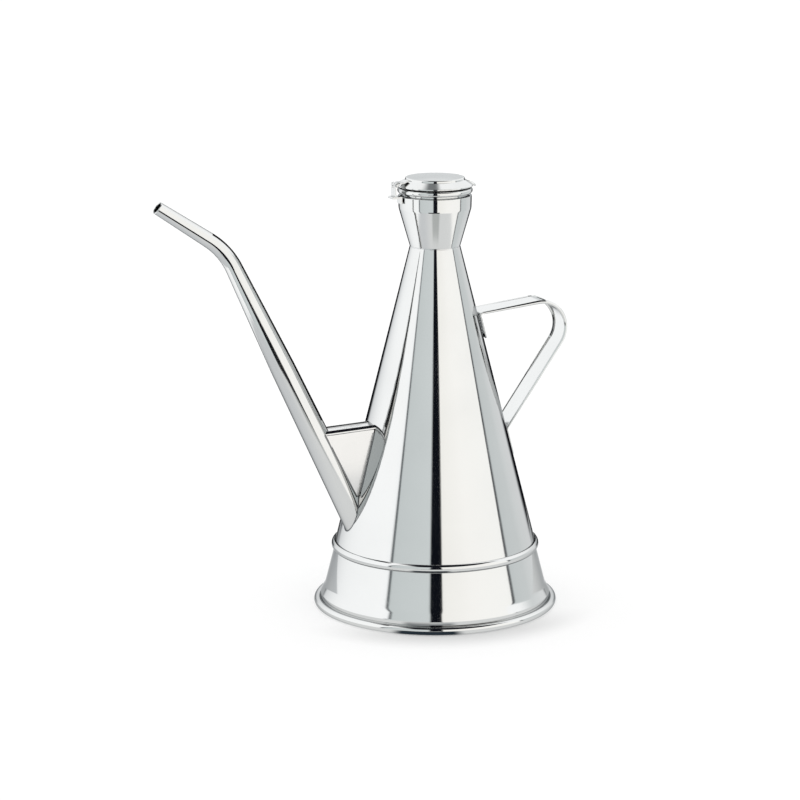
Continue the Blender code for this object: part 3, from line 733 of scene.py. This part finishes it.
# %% Seams between the gusset and the tube
TUBE_SEAM_RINGS = 40
TUBE_SEAM_LENGTH = 33.5
BIGGEST_FILLET = 0.4
upper = Vector((-run_way.y, 0, run_way.x))
stations = []
for k in range(TUBE_SEAM_RINGS):
    length = SPOUT_END - 39 + TUBE_SEAM_LENGTH * k / (TUBE_SEAM_RINGS - 1)
    radius = spout_width(length)
    meets = asin(min(1.0, GUSSET_HALF / radius))
    contact = Vector(spout_point(length, meets))

    def before_cone(up):
        spot = contact + upper * up
        return hypot(spot.x, GUSSET_HALF) > cone_radius(spot.z)

    room = min(last_true(0.0, 30.0, before_cone), (NOSE_TOP_Z - 0.8 - contact.z) / upper.z)
    size = max(0.05, min(BIGGEST_FILLET, 0.3 * room))
    on_tube = Vector(spout_point(length, min(meets + size / radius, radians(89))))
    on_sheet = contact + upper * size
    on_sheet.y = GUSSET_HALF + 0.03
    towards = (contact + (on_tube + on_sheet) / 2) / 2
    ring = hollow(on_tube, on_sheet, towards, 5) + [contact - Vector((0, 0.3, 0))]
    stations.append((ring, [(p.y, i / 5, length) for i, p in enumerate(ring)]))
tube_seams = seam_pair("spout_gusset_solder", stations)

# %% Seams between the gusset and the cone
CONE_SEAM_RINGS = 24
CONE_SEAM_LOW_Z = 56.2
CONE_SEAM_HIGH_Z = 82.5
CONE_FILLET = 0.22
stations = []
for k in range(CONE_SEAM_RINGS):
    height = CONE_SEAM_LOW_Z + (CONE_SEAM_HIGH_Z - CONE_SEAM_LOW_Z) * k / (CONE_SEAM_RINGS - 1)
    size = CONE_FILLET * min(1.0, 0.35 + 0.25 * min(k, CONE_SEAM_RINGS - 1 - k))
    radius = cone_radius(height)
    sheet_x = -(radius**2 - GUSSET_HALF**2) ** 0.5
    cone_x = -((radius + 0.02) ** 2 - (GUSSET_HALF + size) ** 2) ** 0.5
    on_cone_wall = Vector((cone_x, GUSSET_HALF + size, height))
    on_sheet = Vector((sheet_x - 0.3 - size, GUSSET_HALF + 0.03, height))
    towards = Vector((sheet_x - 0.05, GUSSET_HALF + 0.03, height))
    ring = hollow(on_cone_wall, on_sheet, towards, 6) + [Vector((sheet_x + 0.1, GUSSET_HALF - 0.1, height))]
    stations.append((ring, ring))
cone_seams = seam_pair("gusset_solder", stations)

# %% [markdown]
# ## Solder under the cup
# The cup sits on the cone's top with a hair of a gap, and a bright fillet all round closes it. A
# torus would stand out like a wire. The helper for the spout's foot makes a hollow ring here too,
# only its corner line is a plain circle.

# %% Solder under the cup
CUP_SEAM_POINTS = 160
seam_turns = [2 * pi * k / CUP_SEAM_POINTS for k in range(CUP_SEAM_POINTS)]
cup_side = [cone_point(t, CUP_BASE_Z + 0.25, 0.2) for t in seam_turns]
cone_side = [cone_point(t, CONE_TOP[1] - 0.35, 0.02) for t in seam_turns]
seam_deep = [cone_point(t, CONE_TOP[1] + 0.1, -0.25) for t in seam_turns]
seam = fillet_ring("cup_seam", cup_side, cone_side, seam_deep, 11)
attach(seam, "can")

# %% [markdown]
# ## The small pieces that keep their CAD shape
# Pan, gusset and the hinge's three pieces are right as they came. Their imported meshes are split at
# every edge, so nothing could be rounded. A short geometry nodes group drops the stored normals,
# joins the points and marks the true edges again. A Bevel then breaks the edges as filing does.
# Only modifiers are added, so the CAD meshes themselves stay untouched.

# %% A group that joins split points
def joined_group(sharp_angle):
    """Geometry nodes: join the split points, mark edges over an angle as sharp, smooth the rest."""
    group = bpy.data.node_groups.new("join_and_smooth", "GeometryNodeTree")
    group.interface.new_socket("Geometry", in_out="INPUT", socket_type="NodeSocketGeometry")
    group.interface.new_socket("Geometry", in_out="OUTPUT", socket_type="NodeSocketGeometry")
    add = group.nodes.new
    start, end = add("NodeGroupInput"), add("NodeGroupOutput")
    drop = add("GeometryNodeRemoveAttribute")
    drop.inputs["Name"].default_value = "custom_normal"
    merge = add("GeometryNodeMergeByDistance")
    merge.inputs["Distance"].default_value = 0.000002
    angle = add("GeometryNodeInputMeshEdgeAngle")
    over = add("ShaderNodeMath")
    over.operation = "GREATER_THAN"
    over.inputs[1].default_value = sharp_angle
    store = add("GeometryNodeStoreNamedAttribute")
    store.data_type = "BOOLEAN"
    store.domain = "EDGE"
    store.inputs["Name"].default_value = "sharp_edge"
    smooth = add("GeometryNodeSetShadeSmooth")
    link = group.links.new
    link(start.outputs[0], drop.inputs["Geometry"])
    link(drop.outputs["Geometry"], merge.inputs["Geometry"])
    link(merge.outputs["Geometry"], store.inputs["Geometry"])
    link(angle.outputs["Unsigned Angle"], over.inputs[0])
    link(over.outputs[0], store.inputs["Value"])
    link(store.outputs["Geometry"], smooth.inputs["Geometry"])
    link(smooth.outputs["Geometry"], end.inputs[0])
    return group


# %% Soften the kept nodes
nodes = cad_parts
JOINED = joined_group(radians(35))
KEPT = {
    "bottom_pan": 0.0,
    "spout_gusset": 0.22,
    "hinge_bracket": 0.1,
    "lid_hinge_leaf": 0.1,
    "hinge_pin": 0.0,
}
for name, edge in KEPT.items():
    node = nodes[name]
    join = node.modifiers.new("join", "NODES")
    join.node_group = JOINED
    if edge:
        bevel = node.modifiers.new("filed_edges", "BEVEL")
        bevel.width = edge * MM
        bevel.segments = 3
        bevel.limit_method = "ANGLE"
        bevel.angle_limit = radians(40)
        bevel.harden_normals = False
    weighted = node.modifiers.new("true_reflections", "WEIGHTED_NORMAL")
    weighted.keep_sharp = True
    print("kept", name, "with edges of", edge, "mm")

# %% [markdown]
# ## Nodes in a few words
# Materials, the world and the floor are all made of nodes, and each node needs its sockets filled.
# Written out by hand that is three lines a node. These helpers fill a socket with a number or a
# colour, or link it when another node's output is given.

# %% Helpers for nodes
def plug(tree, node, given):
    """Fills a node's sockets, each with a number, a colour or the output of another node."""
    for socket, value in given.items():
        if isinstance(value, bpy.types.NodeSocket):
            tree.links.new(value, node.inputs[socket])
        else:
            node.inputs[socket].default_value = value


def new_node(tree, kind, given):
    """Adds a node and fills its sockets."""
    node = tree.nodes.new(kind)
    plug(tree, node, given)
    return node


def maths(tree, operation, *given):
    """The result of one operation on numbers and outputs."""
    node = new_node(tree, "ShaderNodeMath", dict(enumerate(given)))
    node.operation = operation
    return node.outputs[0]


def empty_tree(owner):
    """The node tree of a material or a world, without the nodes that it starts with."""
    owner.use_nodes = True
    owner.node_tree.nodes.clear()
    return owner.node_tree


# %% [markdown]
# ## The steel
# Polished stainless is a mirror with faults: hair fine polishing lines along the sheet, patches
# where the buffing was lighter, and a few fingerprints. One grey with a low roughness would look
# like plastic foil. Here a base tone varies a little, the roughness follows stretched noise, and
# two bumps do the rest: fine lines and a slow waviness. The steel darkens where it is seen edge
# on, which sets the outline off.

# %% Noise, dullness and bumps of the sheet
LINE_SHARE = 0.45
SMUDGE = 0.06
# Swells for each metre, detail, stretch, and for the prints their roughness.
PATCHES = (60, 4, 0.6)
PRINTS = (170, 6, 1.0, 0.65)
WAVES = (26, 1.5, 0.45)


def noise(tree, place, scale, detail, stretched, roughness=0.5):
    """Noise from 0 to 1. It is drawn out along the sheet where stretched is small."""
    shaped = new_node(tree, "ShaderNodeMapping", {"Vector": place, "Scale": (1, 1, stretched)})
    texture = new_node(tree, "ShaderNodeTexNoise", {
        "Vector": shaped.outputs["Vector"],
        "Scale": scale,
        "Detail": detail,
        "Roughness": roughness,
    })
    return texture.outputs["Fac"]


def dullness(tree, lines, patches, prints, rough):
    """Roughness between the bright and the dull value, and more of it under a fingerprint."""
    from_patches = maths(tree, "MULTIPLY", patches, 1 - LINE_SHARE)
    mixed = maths(tree, "MULTIPLY_ADD", lines, LINE_SHARE, from_patches)
    spread = new_node(tree, "ShaderNodeMapRange", {
        "Value": mixed,
        "From Min": 0.36,
        "From Max": 0.64,
        "To Min": rough[0],
        "To Max": rough[1],
    })
    marks = new_node(tree, "ShaderNodeMapRange", {
        "Value": prints,
        "From Min": 0.6,
        "From Max": 0.74,
        "To Max": SMUDGE,
    })
    return maths(tree, "ADD", spread.outputs["Result"], marks.outputs["Result"])


def bump(tree, height, depth, under):
    """A bump of a depth in metres over what lies under it, ready for the next Normal socket."""
    node = new_node(tree, "ShaderNodeBump", {"Height": height, "Strength": 1.0, "Distance": depth})
    plug(tree, node, under)
    return {"Normal": node.outputs["Normal"]}


# %% A recipe for polished sheet
UPRIGHT_EDGE = (0.48, 0.49, 0.50, 1)
LEVEL_EDGE = (0.85, 0.855, 0.86, 1)
TUBE_EDGE = (0.16, 0.17, 0.18, 1)
DARKER_TONE = 0.965


def polished(name, tone, rough, line_depth, wave_depth, along="grain", line_size=5200, stretch=0.02,
             edge_tone=UPRIGHT_EDGE):
    """A polished steel. Rough is (bright, dull), and the edge tone is its colour seen edge on."""
    made = bpy.data.materials.new(name)
    tree = empty_tree(made)
    if along == "grain":
        source = tree.nodes.new("ShaderNodeAttribute")
        source.attribute_name = "grain"
        place = source.outputs["Vector"]
    else:
        place = tree.nodes.new("ShaderNodeTexCoord").outputs["Object"]
    lines = noise(tree, place, line_size, 3, stretch)
    patches = noise(tree, place, *PATCHES)
    prints = noise(tree, place, *PRINTS)
    waves = noise(tree, place, *WAVES)

    colour = new_node(tree, "ShaderNodeValToRGB", {"Fac": patches})
    darker, full = colour.color_ramp.elements
    darker.position = 0.32
    darker.color = (*[c * DARKER_TONE for c in tone], 1)
    full.position = 0.62
    full.color = (*tone, 1)

    shader = new_node(tree, "ShaderNodeBsdfPrincipled", {
        "Metallic": 1.0,
        "Specular Tint": edge_tone,
        "Base Color": colour.outputs["Color"],
        "Roughness": dullness(tree, lines, patches, prints, rough),
    })
    plug(tree, shader, bump(tree, lines, line_depth, bump(tree, waves, wave_depth, {})))
    new_node(tree, "ShaderNodeOutputMaterial", {"Surface": shader.outputs["BSDF"]})
    return made


# %% [markdown]
# ## A finish for each piece
# The big sheets come bright from the wheel. The tube and the strap were drawn and keep finer,
# deeper lines. Cut strips, the wire of the pin and the hidden pan are duller. One steel for all
# would be simpler, but then a cut strip looks as smooth as a spun cup.

# %% Finishes
BRIGHT = (0.62, 0.625, 0.62)
DRAWN = (0.615, 0.62, 0.615)
DRAWN_LINES = 6400
sheet_polish = polished("cone_polish", BRIGHT, (0.035, 0.085), 1.2e-7, 1.0e-6)
spun_polish = polished("spun_polish", BRIGHT, (0.035, 0.09), 1.0e-7, 1.2e-6, stretch=0.05)
cup_polish = polished("cup_polish", BRIGHT, (0.045, 0.10), 1.5e-7, 2.2e-6)
lid_polish = polished("lid_polish", (0.61, 0.615, 0.61), (0.05, 0.11), 1.5e-7, 1.6e-6,
                      edge_tone=LEVEL_EDGE)
tube_polish = polished("tube_polish", DRAWN, (0.05, 0.12), 1.8e-7, 1.4e-6, line_size=DRAWN_LINES,
                       edge_tone=TUBE_EDGE)
strip_polish = polished("strip_polish", DRAWN, (0.06, 0.14), 2.0e-7, 1.6e-6, line_size=DRAWN_LINES,
                        edge_tone=LEVEL_EDGE)
solder_bright = polished("bright_solder", (0.58, 0.585, 0.59), (0.10, 0.22), 1.2e-7, 4.0e-6, stretch=0.6)
dull_solder = polished("dull_solder", (0.17, 0.175, 0.18), (0.22, 0.36), 2.0e-7, 4.0e-6, stretch=0.6)
folded_sheet = polished("folded_sheet", (0.62, 0.62, 0.615), (0.07, 0.15), 2.0e-7, 2.0e-6, along="object",
                        edge_tone=LEVEL_EDGE)
cut_strip = polished("cut_strip", (0.57, 0.575, 0.57), (0.12, 0.24), 3.0e-7, 2.0e-6, along="object",
                     edge_tone=LEVEL_EDGE)
drawn_wire = polished("drawn_wire", (0.54, 0.545, 0.54), (0.14, 0.26), 3.0e-7, 2.0e-6, along="object")
mill_finish = polished("mill_finish", (0.51, 0.515, 0.51), (0.22, 0.36), 6.0e-7, 3.0e-6, along="object")

# %% Dress the pieces
def dress(piece, finish):
    """Gives every material slot of a piece the same finish."""
    if not piece.data.materials:
        piece.data.materials.append(finish)
    for place in piece.material_slots:
        place.material = finish
    print("dressed", piece.name, "in", finish.name)


DRESSED = [
    (sheet_polish, [cone]),
    (spun_polish, [skirt]),
    (cup_polish, [cup]),
    (lid_polish, [lid, tab]),
    (tube_polish, [spout]),
    (strip_polish, [strap]),
    (dull_solder, [solder, *cone_seams, *tube_seams]),
    (solder_bright, [seam]),
    (folded_sheet, [nose, gusset_top, nodes["spout_gusset"]]),
    (cut_strip, [nodes["hinge_bracket"], nodes["lid_hinge_leaf"]]),
    (drawn_wire, [nodes["hinge_pin"]]),
    (mill_finish, [nodes["bottom_pan"]]),
]
for finish, pieces in DRESSED:
    for piece in pieces:
        dress(piece, finish)

# %% [markdown]
# ## The studio
# A mirror shows its room. The can stands in a white tent: a bright wall on the left, a warm white
# one on the right, grey cloth between them and a dark slit for the camera. Lamps and cards could
# be built one by one. The world shader does the same with no noise: a ramp round the horizon
# gives the walls, and height blends them into the roof and the floor's far dark.

# %% Helpers for shades
def soft_step(tree, value, low, high):
    """0 below low, 1 above high and a smooth change between."""
    node = new_node(tree, "ShaderNodeMapRange", {"Value": value, "From Min": low, "From Max": high})
    node.interpolation_type = "SMOOTHSTEP"
    return node.outputs["Result"]


def soft_end(tree, value, low, high):
    """1 below low, 0 above high and a smooth change between."""
    return maths(tree, "SUBTRACT", 1.0, soft_step(tree, value, low, high))


def blend(tree, share, first, second):
    """The first colour where the share is 0 and the second where it is 1."""
    node = tree.nodes.new("ShaderNodeMix")
    node.data_type = "RGBA"
    plug(tree, node, {0: share, 6: first, 7: second})
    return node.outputs[2]


# %% Directions in the tent
CAMERA_TURN = -22.5
world = bpy.data.worlds.new("light_tent")
bpy.context.scene.world = world
sky = empty_tree(world)
turned_sky = new_node(sky, "ShaderNodeMapping", {
    "Vector": sky.nodes.new("ShaderNodeTexCoord").outputs["Generated"],
    "Rotation": (0, 0, radians(-CAMERA_TURN)),
})
sky_axes = new_node(sky, "ShaderNodeSeparateXYZ", {"Vector": turned_sky.outputs["Vector"]})
side_way, depth_way, up_way = sky_axes.outputs
front_way = maths(sky, "MULTIPLY", depth_way, -1.0)
front_angle = maths(sky, "ARCTAN2", side_way, front_way)
elevation = maths(sky, "MULTIPLY", maths(sky, "ARCSINE", up_way), 180 / pi)
print("the tent's front is turned", CAMERA_TURN, "degrees")

# %% [markdown]
# ## The tent's walls
# Every wall shows on the cone as an upright band, and every gap between two walls as a dark line.
# Cards standing in a circle would give the same bands. A colour ramp laid round the horizon gives
# them with clean edges, and each stop is simply an angle and a shade.

# %% Walls round the horizon
# Degrees from the camera, to the right, with the grey or warm white that hangs there.
WALLS = [
    (-180, (0.93, 0.94, 0.95)),
    (-60, (0.95, 0.955, 0.96)),
    (-52.3, (0.93, 0.94, 0.95)),
    (-51.6, (0.06, 0.07, 0.075)),
    (-49.4, (0.10, 0.11, 0.115)),
    (-48.4, (0.55, 0.585, 0.59)),
    (-6, (0.60, 0.635, 0.64)),
    (-4.6, (0.004, 0.005, 0.008)),
    (7.0, (0.004, 0.005, 0.008)),
    (8.2, (0.90, 0.885, 0.85)),
    (40, (0.945, 0.93, 0.905)),
    (86.3, (0.93, 0.925, 0.905)),
    (87.0, (0.08, 0.085, 0.09)),
    (89.6, (0.08, 0.085, 0.09)),
    (90.8, (0.54, 0.57, 0.575)),
    (112, (0.59, 0.615, 0.62)),
    (130, (0.74, 0.755, 0.76)),
    (142, (0.90, 0.905, 0.91)),
    (180, (0.93, 0.94, 0.95)),
]
turn_share = maths(sky, "MULTIPLY_ADD", front_angle, 1 / (2 * pi), 0.5)
walls = new_node(sky, "ShaderNodeValToRGB", {"Fac": turn_share})
stops = walls.color_ramp.elements
for i, (angle, shade) in enumerate(WALLS):
    if i < 2:
        stop = stops[i]
    else:
        stop = stops.new(0.999)
    stop.position = (angle + 180) / 360
    stop.color = (*shade, 1)
print("tent walls:", len(WALLS), "stops round the horizon")

# %% [markdown]
# ## The roof and a dark flag
# Higher up the walls blend into the roof. A dark flag hangs overhead, wide over the front of the
# table and narrow behind the top. The steep sides of folds and hems mirror it as thin dark lines,
# and without it the handle and the gusset would fade into the white. A card over the can would
# also shade the floor, and a patch in the world does not.

# %% Roof
# The walls end 50 to 60 degrees up. The one on the far right is 38 degrees lower.
ROOF = (0.93, 0.935, 0.94, 1)
LOWER_RIGHT = 38.0
to_the_right = soft_step(sky, side_way, 0.5, 0.6)
low_right = maths(sky, "MULTIPLY", to_the_right, soft_step(sky, front_angle, 1.3, 1.5))
wall_top = maths(sky, "MULTIPLY_ADD", low_right, LOWER_RIGHT, elevation)
tent = blend(sky, soft_step(sky, wall_top, 50.0, 60.0), walls.outputs["Color"], ROOF)
print("walls blended into the roof")

# %% Flag
# Places overhead are parts of the tent's radius. Over the front the flag is moved and widened.
NEARLY_BLACK = (0.006, 0.007, 0.010, 1)
FLAG_GREY = (0.20, 0.21, 0.215, 1)
over_front = soft_step(sky, front_way, -0.32, -0.12)
shifted = maths(sky, "MULTIPLY_ADD", over_front, -0.24, maths(sky, "ADD", side_way, 0.08))
beyond_edge = maths(sky, "MULTIPLY_ADD", over_front, -0.36, maths(sky, "ABSOLUTE", shifted))
high_up = soft_step(sky, maths(sky, "MULTIPLY_ADD", over_front, -0.24, up_way), 0.42, 0.54)
flag = maths(sky, "MULTIPLY", soft_end(sky, beyond_edge, 0.03, 0.19), high_up)
tent = blend(sky, flag, tent, blend(sky, over_front, FLAG_GREY, NEARLY_BLACK))
print("flag hung under the roof")

# %% [markdown]
# ## Behind the can, and which rays see the tent
# Low behind the can it is grey close to the horizon, white above that and dark below. The rims
# and the spout's far side mirror that part. Only reflections look into the tent. The camera and
# the floor get an even white instead, which keeps the background clean.

# %% Back of the tent and world output
# Heights are degrees above the horizon.
BACK_GREY = (0.60, 0.615, 0.62, 1)
TENT_STRENGTH = 1.56
BACKDROP_STRENGTH = 1.02
behind = soft_step(sky, depth_way, 0.80, 0.90)
rising = blend(sky, soft_step(sky, elevation, 10.0, 14.5), BACK_GREY, ROOF)
back = blend(sky, soft_step(sky, elevation, 1.5, 4.5), NEARLY_BLACK, rising)
low_behind = maths(sky, "MULTIPLY", behind, soft_end(sky, elevation, 16.0, 24.0))
seen = blend(sky, low_behind, tent, back)
light = new_node(sky, "ShaderNodeBackground", {"Color": seen, "Strength": TENT_STRENGTH})
backdrop = new_node(sky, "ShaderNodeBackground", {
    "Color": (1, 1, 1, 1),
    "Strength": BACKDROP_STRENGTH,
})
rays = sky.nodes.new("ShaderNodeLightPath").outputs
plain = maths(sky, "MAXIMUM", rays["Is Camera Ray"], rays["Is Diffuse Ray"])
choose = new_node(sky, "ShaderNodeMixShader", {0: plain, 1: light.outputs[0], 2: backdrop.outputs[0]})
new_node(sky, "ShaderNodeOutputWorld", {"Surface": choose.outputs[0]})
print("world nodes:", len(sky.nodes))

# %% [markdown]
# ## The floor
# The can stands on a white sheet lit from behind, so hardly any shadow is left in the photograph.
# A plain white floor would need so much light that the steel burned out. This floor glows a
# little for the camera and keeps a part that can still be shaded. For the steel it is a pale
# sheet that ends in the dark in front of the table.

# %% Floor sheet and the places on it
FLOOR_REACH = 6.0
ends = (-FLOOR_REACH, FLOOR_REACH)
floor_points = [(x, y, 0) for x in ends for y in ends]
floor_mesh = bpy.data.meshes.new("floor")
floor_mesh.from_pydata(floor_points, [], [(0, 2, 3, 1)])
floor = bpy.data.objects.new("floor", floor_mesh)
bpy.context.scene.collection.objects.link(floor)
floor_white = bpy.data.materials.new("floor_white")
floor_mesh.materials.append(floor_white)
floor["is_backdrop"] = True
ground = empty_tree(floor_white)

# Where a point of the floor lies, seen from the can's axis: metres to the right, to the front and
# away. All the distances in the next cells are metres too.
spot = new_node(ground, "ShaderNodeMapping", {
    "Vector": ground.nodes.new("ShaderNodeTexCoord").outputs["Object"],
    "Location": (-AXIS_X * MM, 0, 0),
})
turned_spot = new_node(ground, "ShaderNodeMapping", {
    "Vector": spot.outputs["Vector"],
    "Rotation": (0, 0, radians(-CAMERA_TURN)),
})
spot_axes = new_node(ground, "ShaderNodeSeparateXYZ", {"Vector": turned_spot.outputs["Vector"]})
to_right = spot_axes.outputs["X"]
to_back = spot_axes.outputs["Y"]
to_front = maths(ground, "MULTIPLY", to_back, -1.0)
length_node = new_node(ground, "ShaderNodeVectorMath", {0: spot.outputs["Vector"]})
length_node.operation = "LENGTH"
away = length_node.outputs["Value"]
print("floor:", 2 * FLOOR_REACH, "m square")

# %% [markdown]
# ## The floor for the camera
# The real sheet darkens softly in front of the foot and stays white behind it. Real shadows would
# need a lamp, and a lamp would burn a spot into the steel. So the glow itself is weaker there, and
# the rest of the floor is just over full white.

# %% Paper, glow and the shade at the foot
PAPER_WHITE = (0.9, 0.9, 0.9, 1)
GLOW_SHARE = 0.40
GLOW = 1.16
SHADE_DEPTH = 0.66
near_foot = soft_end(ground, away, 0.052, 0.078)
to_shade = maths(ground, "MULTIPLY_ADD", to_right, 0.25, to_front)
shaded = maths(ground, "MULTIPLY", near_foot, soft_step(ground, to_shade, 0.022, 0.06))
glow_strength = maths(ground, "MULTIPLY_ADD", shaded, -SHADE_DEPTH, GLOW)
paper = new_node(ground, "ShaderNodeBsdfDiffuse", {"Color": PAPER_WHITE})
glow = new_node(ground, "ShaderNodeEmission", {"Color": (1, 1, 1, 1), "Strength": glow_strength})
lit = new_node(ground, "ShaderNodeMixShader", {
    0: GLOW_SHARE,
    1: paper.outputs[0],
    2: glow.outputs[0],
})
print("glow of the floor:", GLOW, "and", round(GLOW - SHADE_DEPTH, 2), "at the foot")

# %% [markdown]
# ## The floor for the steel
# The flare and the roll of the foot mirror the floor close by, with shades painted into it: a painted
# shade that makes the left a little greyer, a painted shadow behind the can, the painted shadow of
# the camera stand as a grey patch in front, and a painted contact shadow right under the roll.
# Shades painted on the steel would stay put when the can is seen from elsewhere. Painted on the
# floor they stay with the surroundings, and each is one blend.

# %% What the steel sees of the sheet
front_turn = maths(ground, "ARCTAN2", to_right, to_front)


def off_from(middle):
    """How far a place's direction is from a middle one in radians. Middle is degrees to the right."""
    return maths(ground, "ABSOLUTE", maths(ground, "SUBTRACT", front_turn, radians(middle)))


def both(first, second):
    """Two shares multiplied: 1 only where both are 1."""
    return maths(ground, "MULTIPLY", first, second)


SHEET_WHITE = (1.02, 1.03, 1.03, 1)
LEFT_SHADE_GREY = (0.88, 0.90, 0.92, 1)
STAND_SHADOW_GREY = (0.66, 0.68, 0.67, 1)
ROLL_SHADE = (0.03, 0.045, 0.06, 1)
BACK_SHADE = (0.02, 0.02, 0.02, 1)
# Painted shade: the floor on the left is made a little greyer.
left = soft_step(ground, maths(ground, "MULTIPLY", to_right, -1.0), 0.05, 0.16)
shade = blend(ground, left, SHEET_WHITE, LEFT_SHADE_GREY)
# Painted shadow: the floor just behind the can is made dark.
beside = soft_end(ground, maths(ground, "ABSOLUTE", to_right), 0.08, 0.14)
shadow_back = soft_step(ground, to_back, 0.11, 0.15)
shade = blend(ground, both(beside, shadow_back), shade, BACK_SHADE)
# Painted shadow of the camera stand: a grey patch in front, from 0.2 m out.
patch_side = soft_end(ground, off_from(3), radians(9), radians(17))
patch = both(patch_side, soft_step(ground, away, 0.196, 0.206))
shade = blend(ground, patch, shade, STAND_SHADOW_GREY)
# Painted contact shadow: the floor right in front of the roll is made dark.
roll_front = soft_end(ground, off_from(-3.6), radians(12), radians(19))
roll_shade = both(roll_front, soft_end(ground, away, 0.066, 0.080))
shade = blend(ground, roll_shade, shade, ROLL_SHADE)
sheet_glow = new_node(ground, "ShaderNodeEmission", {"Color": shade})
print("shades on the sheet: left, behind, patch, foot")

# %% [markdown]
# ## Past the sheet's edge
# The sheet ends on a round table. Past it only the dark slit of the tent reaches the floor, so a
# wedge in front is nearly black and the rest is clear, where the steel looks through to the tent.
# A light path node keeps all this for reflections, and the camera sees the paper everywhere.

# %% Edge of the sheet and floor output
slit_side = soft_end(ground, off_from(-3), radians(17), radians(20))
slit = both(slit_side, soft_end(ground, away, 0.42, 0.46))
clear = ground.nodes.new("ShaderNodeBsdfTransparent")
hole = new_node(ground, "ShaderNodeEmission", {"Color": NEARLY_BLACK})
outer = new_node(ground, "ShaderNodeMixShader", {0: slit, 1: clear.outputs[0], 2: hole.outputs[0]})
sheet = new_node(ground, "ShaderNodeMixShader", {
    0: soft_step(ground, away, 0.245, 0.255),
    1: sheet_glow.outputs[0],
    2: outer.outputs[0],
})
choose = new_node(ground, "ShaderNodeMixShader", {
    0: ground.nodes.new("ShaderNodeLightPath").outputs["Is Glossy Ray"],
    1: lit.outputs[0],
    2: sheet.outputs[0],
})
new_node(ground, "ShaderNodeOutputMaterial", {"Surface": choose.outputs[0]})
print("floor nodes:", len(ground.nodes))

# %% [markdown]
# ## A painted dark reflection beside the spout
# In the photograph the cone mirrors the spout as a black band, because nothing bright stood where
# the spout's inner side looks. Moving the whole tent for it would spoil the other reflections. A
# ribbon along the spout does it alone: it is black towards the cone, clear from behind, and only
# reflections can see it.

# %% Black strip
STRIP_HALF = 3.9
STRIP_AWAY = 0.8
STRIP_SPANS = 24
STRIP_BLACK = (0.02, 0.02, 0.022, 1)
strip_end = SPOUT_END - 44
strip_points = []
for i in range(STRIP_SPANS + 1):
    length = BEND_START + (strip_end - BEND_START) * i / STRIP_SPANS
    middle, way = spout_place(length)
    x, z = middle + Vector((-way.y, way.x)) * (spout_width(length) + STRIP_AWAY)
    half = STRIP_HALF * spout_width(length) / spout_width(SPOUT_END)
    for side in (-half, half):
        strip_points.append(((x + AXIS_X) * MM, side * MM, z * MM))
strip_faces = [(2 * i, 2 * i + 1, 2 * i + 3, 2 * i + 2) for i in range(STRIP_SPANS)]
strip_mesh = bpy.data.meshes.new("black_strip")
strip_mesh.from_pydata(strip_points, [], strip_faces)
black_strip = bpy.data.objects.new("black_strip", strip_mesh)
bpy.context.scene.collection.objects.link(black_strip)
black_strip.visible_camera = False
black_strip.visible_diffuse = False
black_strip.visible_shadow = False
black_strip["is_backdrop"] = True
facing = strip_mesh.polygons[STRIP_SPANS // 2].normal
print("black strip faces", [round(c, 2) for c in facing])

# %% Material of the painted dark reflection
dark_reflection_material = bpy.data.materials.new("painted_dark_reflection")
dark_reflection_tree = empty_tree(dark_reflection_material)
# Painted dark reflection: black towards the cone, clear from behind, seen only in reflections.
dark = new_node(dark_reflection_tree, "ShaderNodeEmission", {"Color": STRIP_BLACK})
see_through = dark_reflection_tree.nodes.new("ShaderNodeBsdfTransparent")
one_side = new_node(dark_reflection_tree, "ShaderNodeMixShader", {
    0: dark_reflection_tree.nodes.new("ShaderNodeNewGeometry").outputs["Backfacing"],
    1: dark.outputs[0],
    2: see_through.outputs[0],
})
new_node(dark_reflection_tree, "ShaderNodeOutputMaterial", {"Surface": one_side.outputs[0]})
dress(black_strip, dark_reflection_material)

# %% [markdown]
# ## The camera
# The photograph was taken from a little above, with a long lens, 22.5 degrees towards the spout.
# The place was found by laying the CAD model's edges over the picture until they met. The lens is
# given in pixels first, because that is how it was measured.

# %% Camera
CAMERA_AWAY = 1.300
CAMERA_HEIGHT = 0.3873
CAMERA_PITCH = radians(12.733)
PICTURE_PIXELS = 800
LENS_PIXELS = 2969.1
SHIFT_PIXELS = -35
SENSOR_MM = 36
camera_data = bpy.data.cameras.new("camera")
camera = bpy.data.objects.new("camera", camera_data)
bpy.context.scene.collection.objects.link(camera)
turn = radians(CAMERA_TURN)
camera.location = (AXIS_X * MM + sin(turn) * CAMERA_AWAY, -cos(turn) * CAMERA_AWAY, CAMERA_HEIGHT)
camera.rotation_euler = (pi / 2 - CAMERA_PITCH, 0, turn)
camera_data.sensor_width = SENSOR_MM
camera_data.lens = LENS_PIXELS * SENSOR_MM / PICTURE_PIXELS
camera_data.shift_x = SHIFT_PIXELS / PICTURE_PIXELS
camera_data.clip_start = 0.05
camera_data.clip_end = 60
bpy.context.scene.camera = camera
bpy.context.scene.view_settings.view_transform = "Standard"
print("camera", [round(c, 4) for c in camera.location])

# %% [markdown]
# ## The size
# Both boxes are printed: the CAD model's and the dressed can's. The dressed can has to
# stay in the box of the CAD model.

# %% Print both boxes and finish
new_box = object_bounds()
for low, high in zip(cad_box, new_box):
    print([round(a / MM, 2) for a in low], [round(b / MM, 2) for b in high])
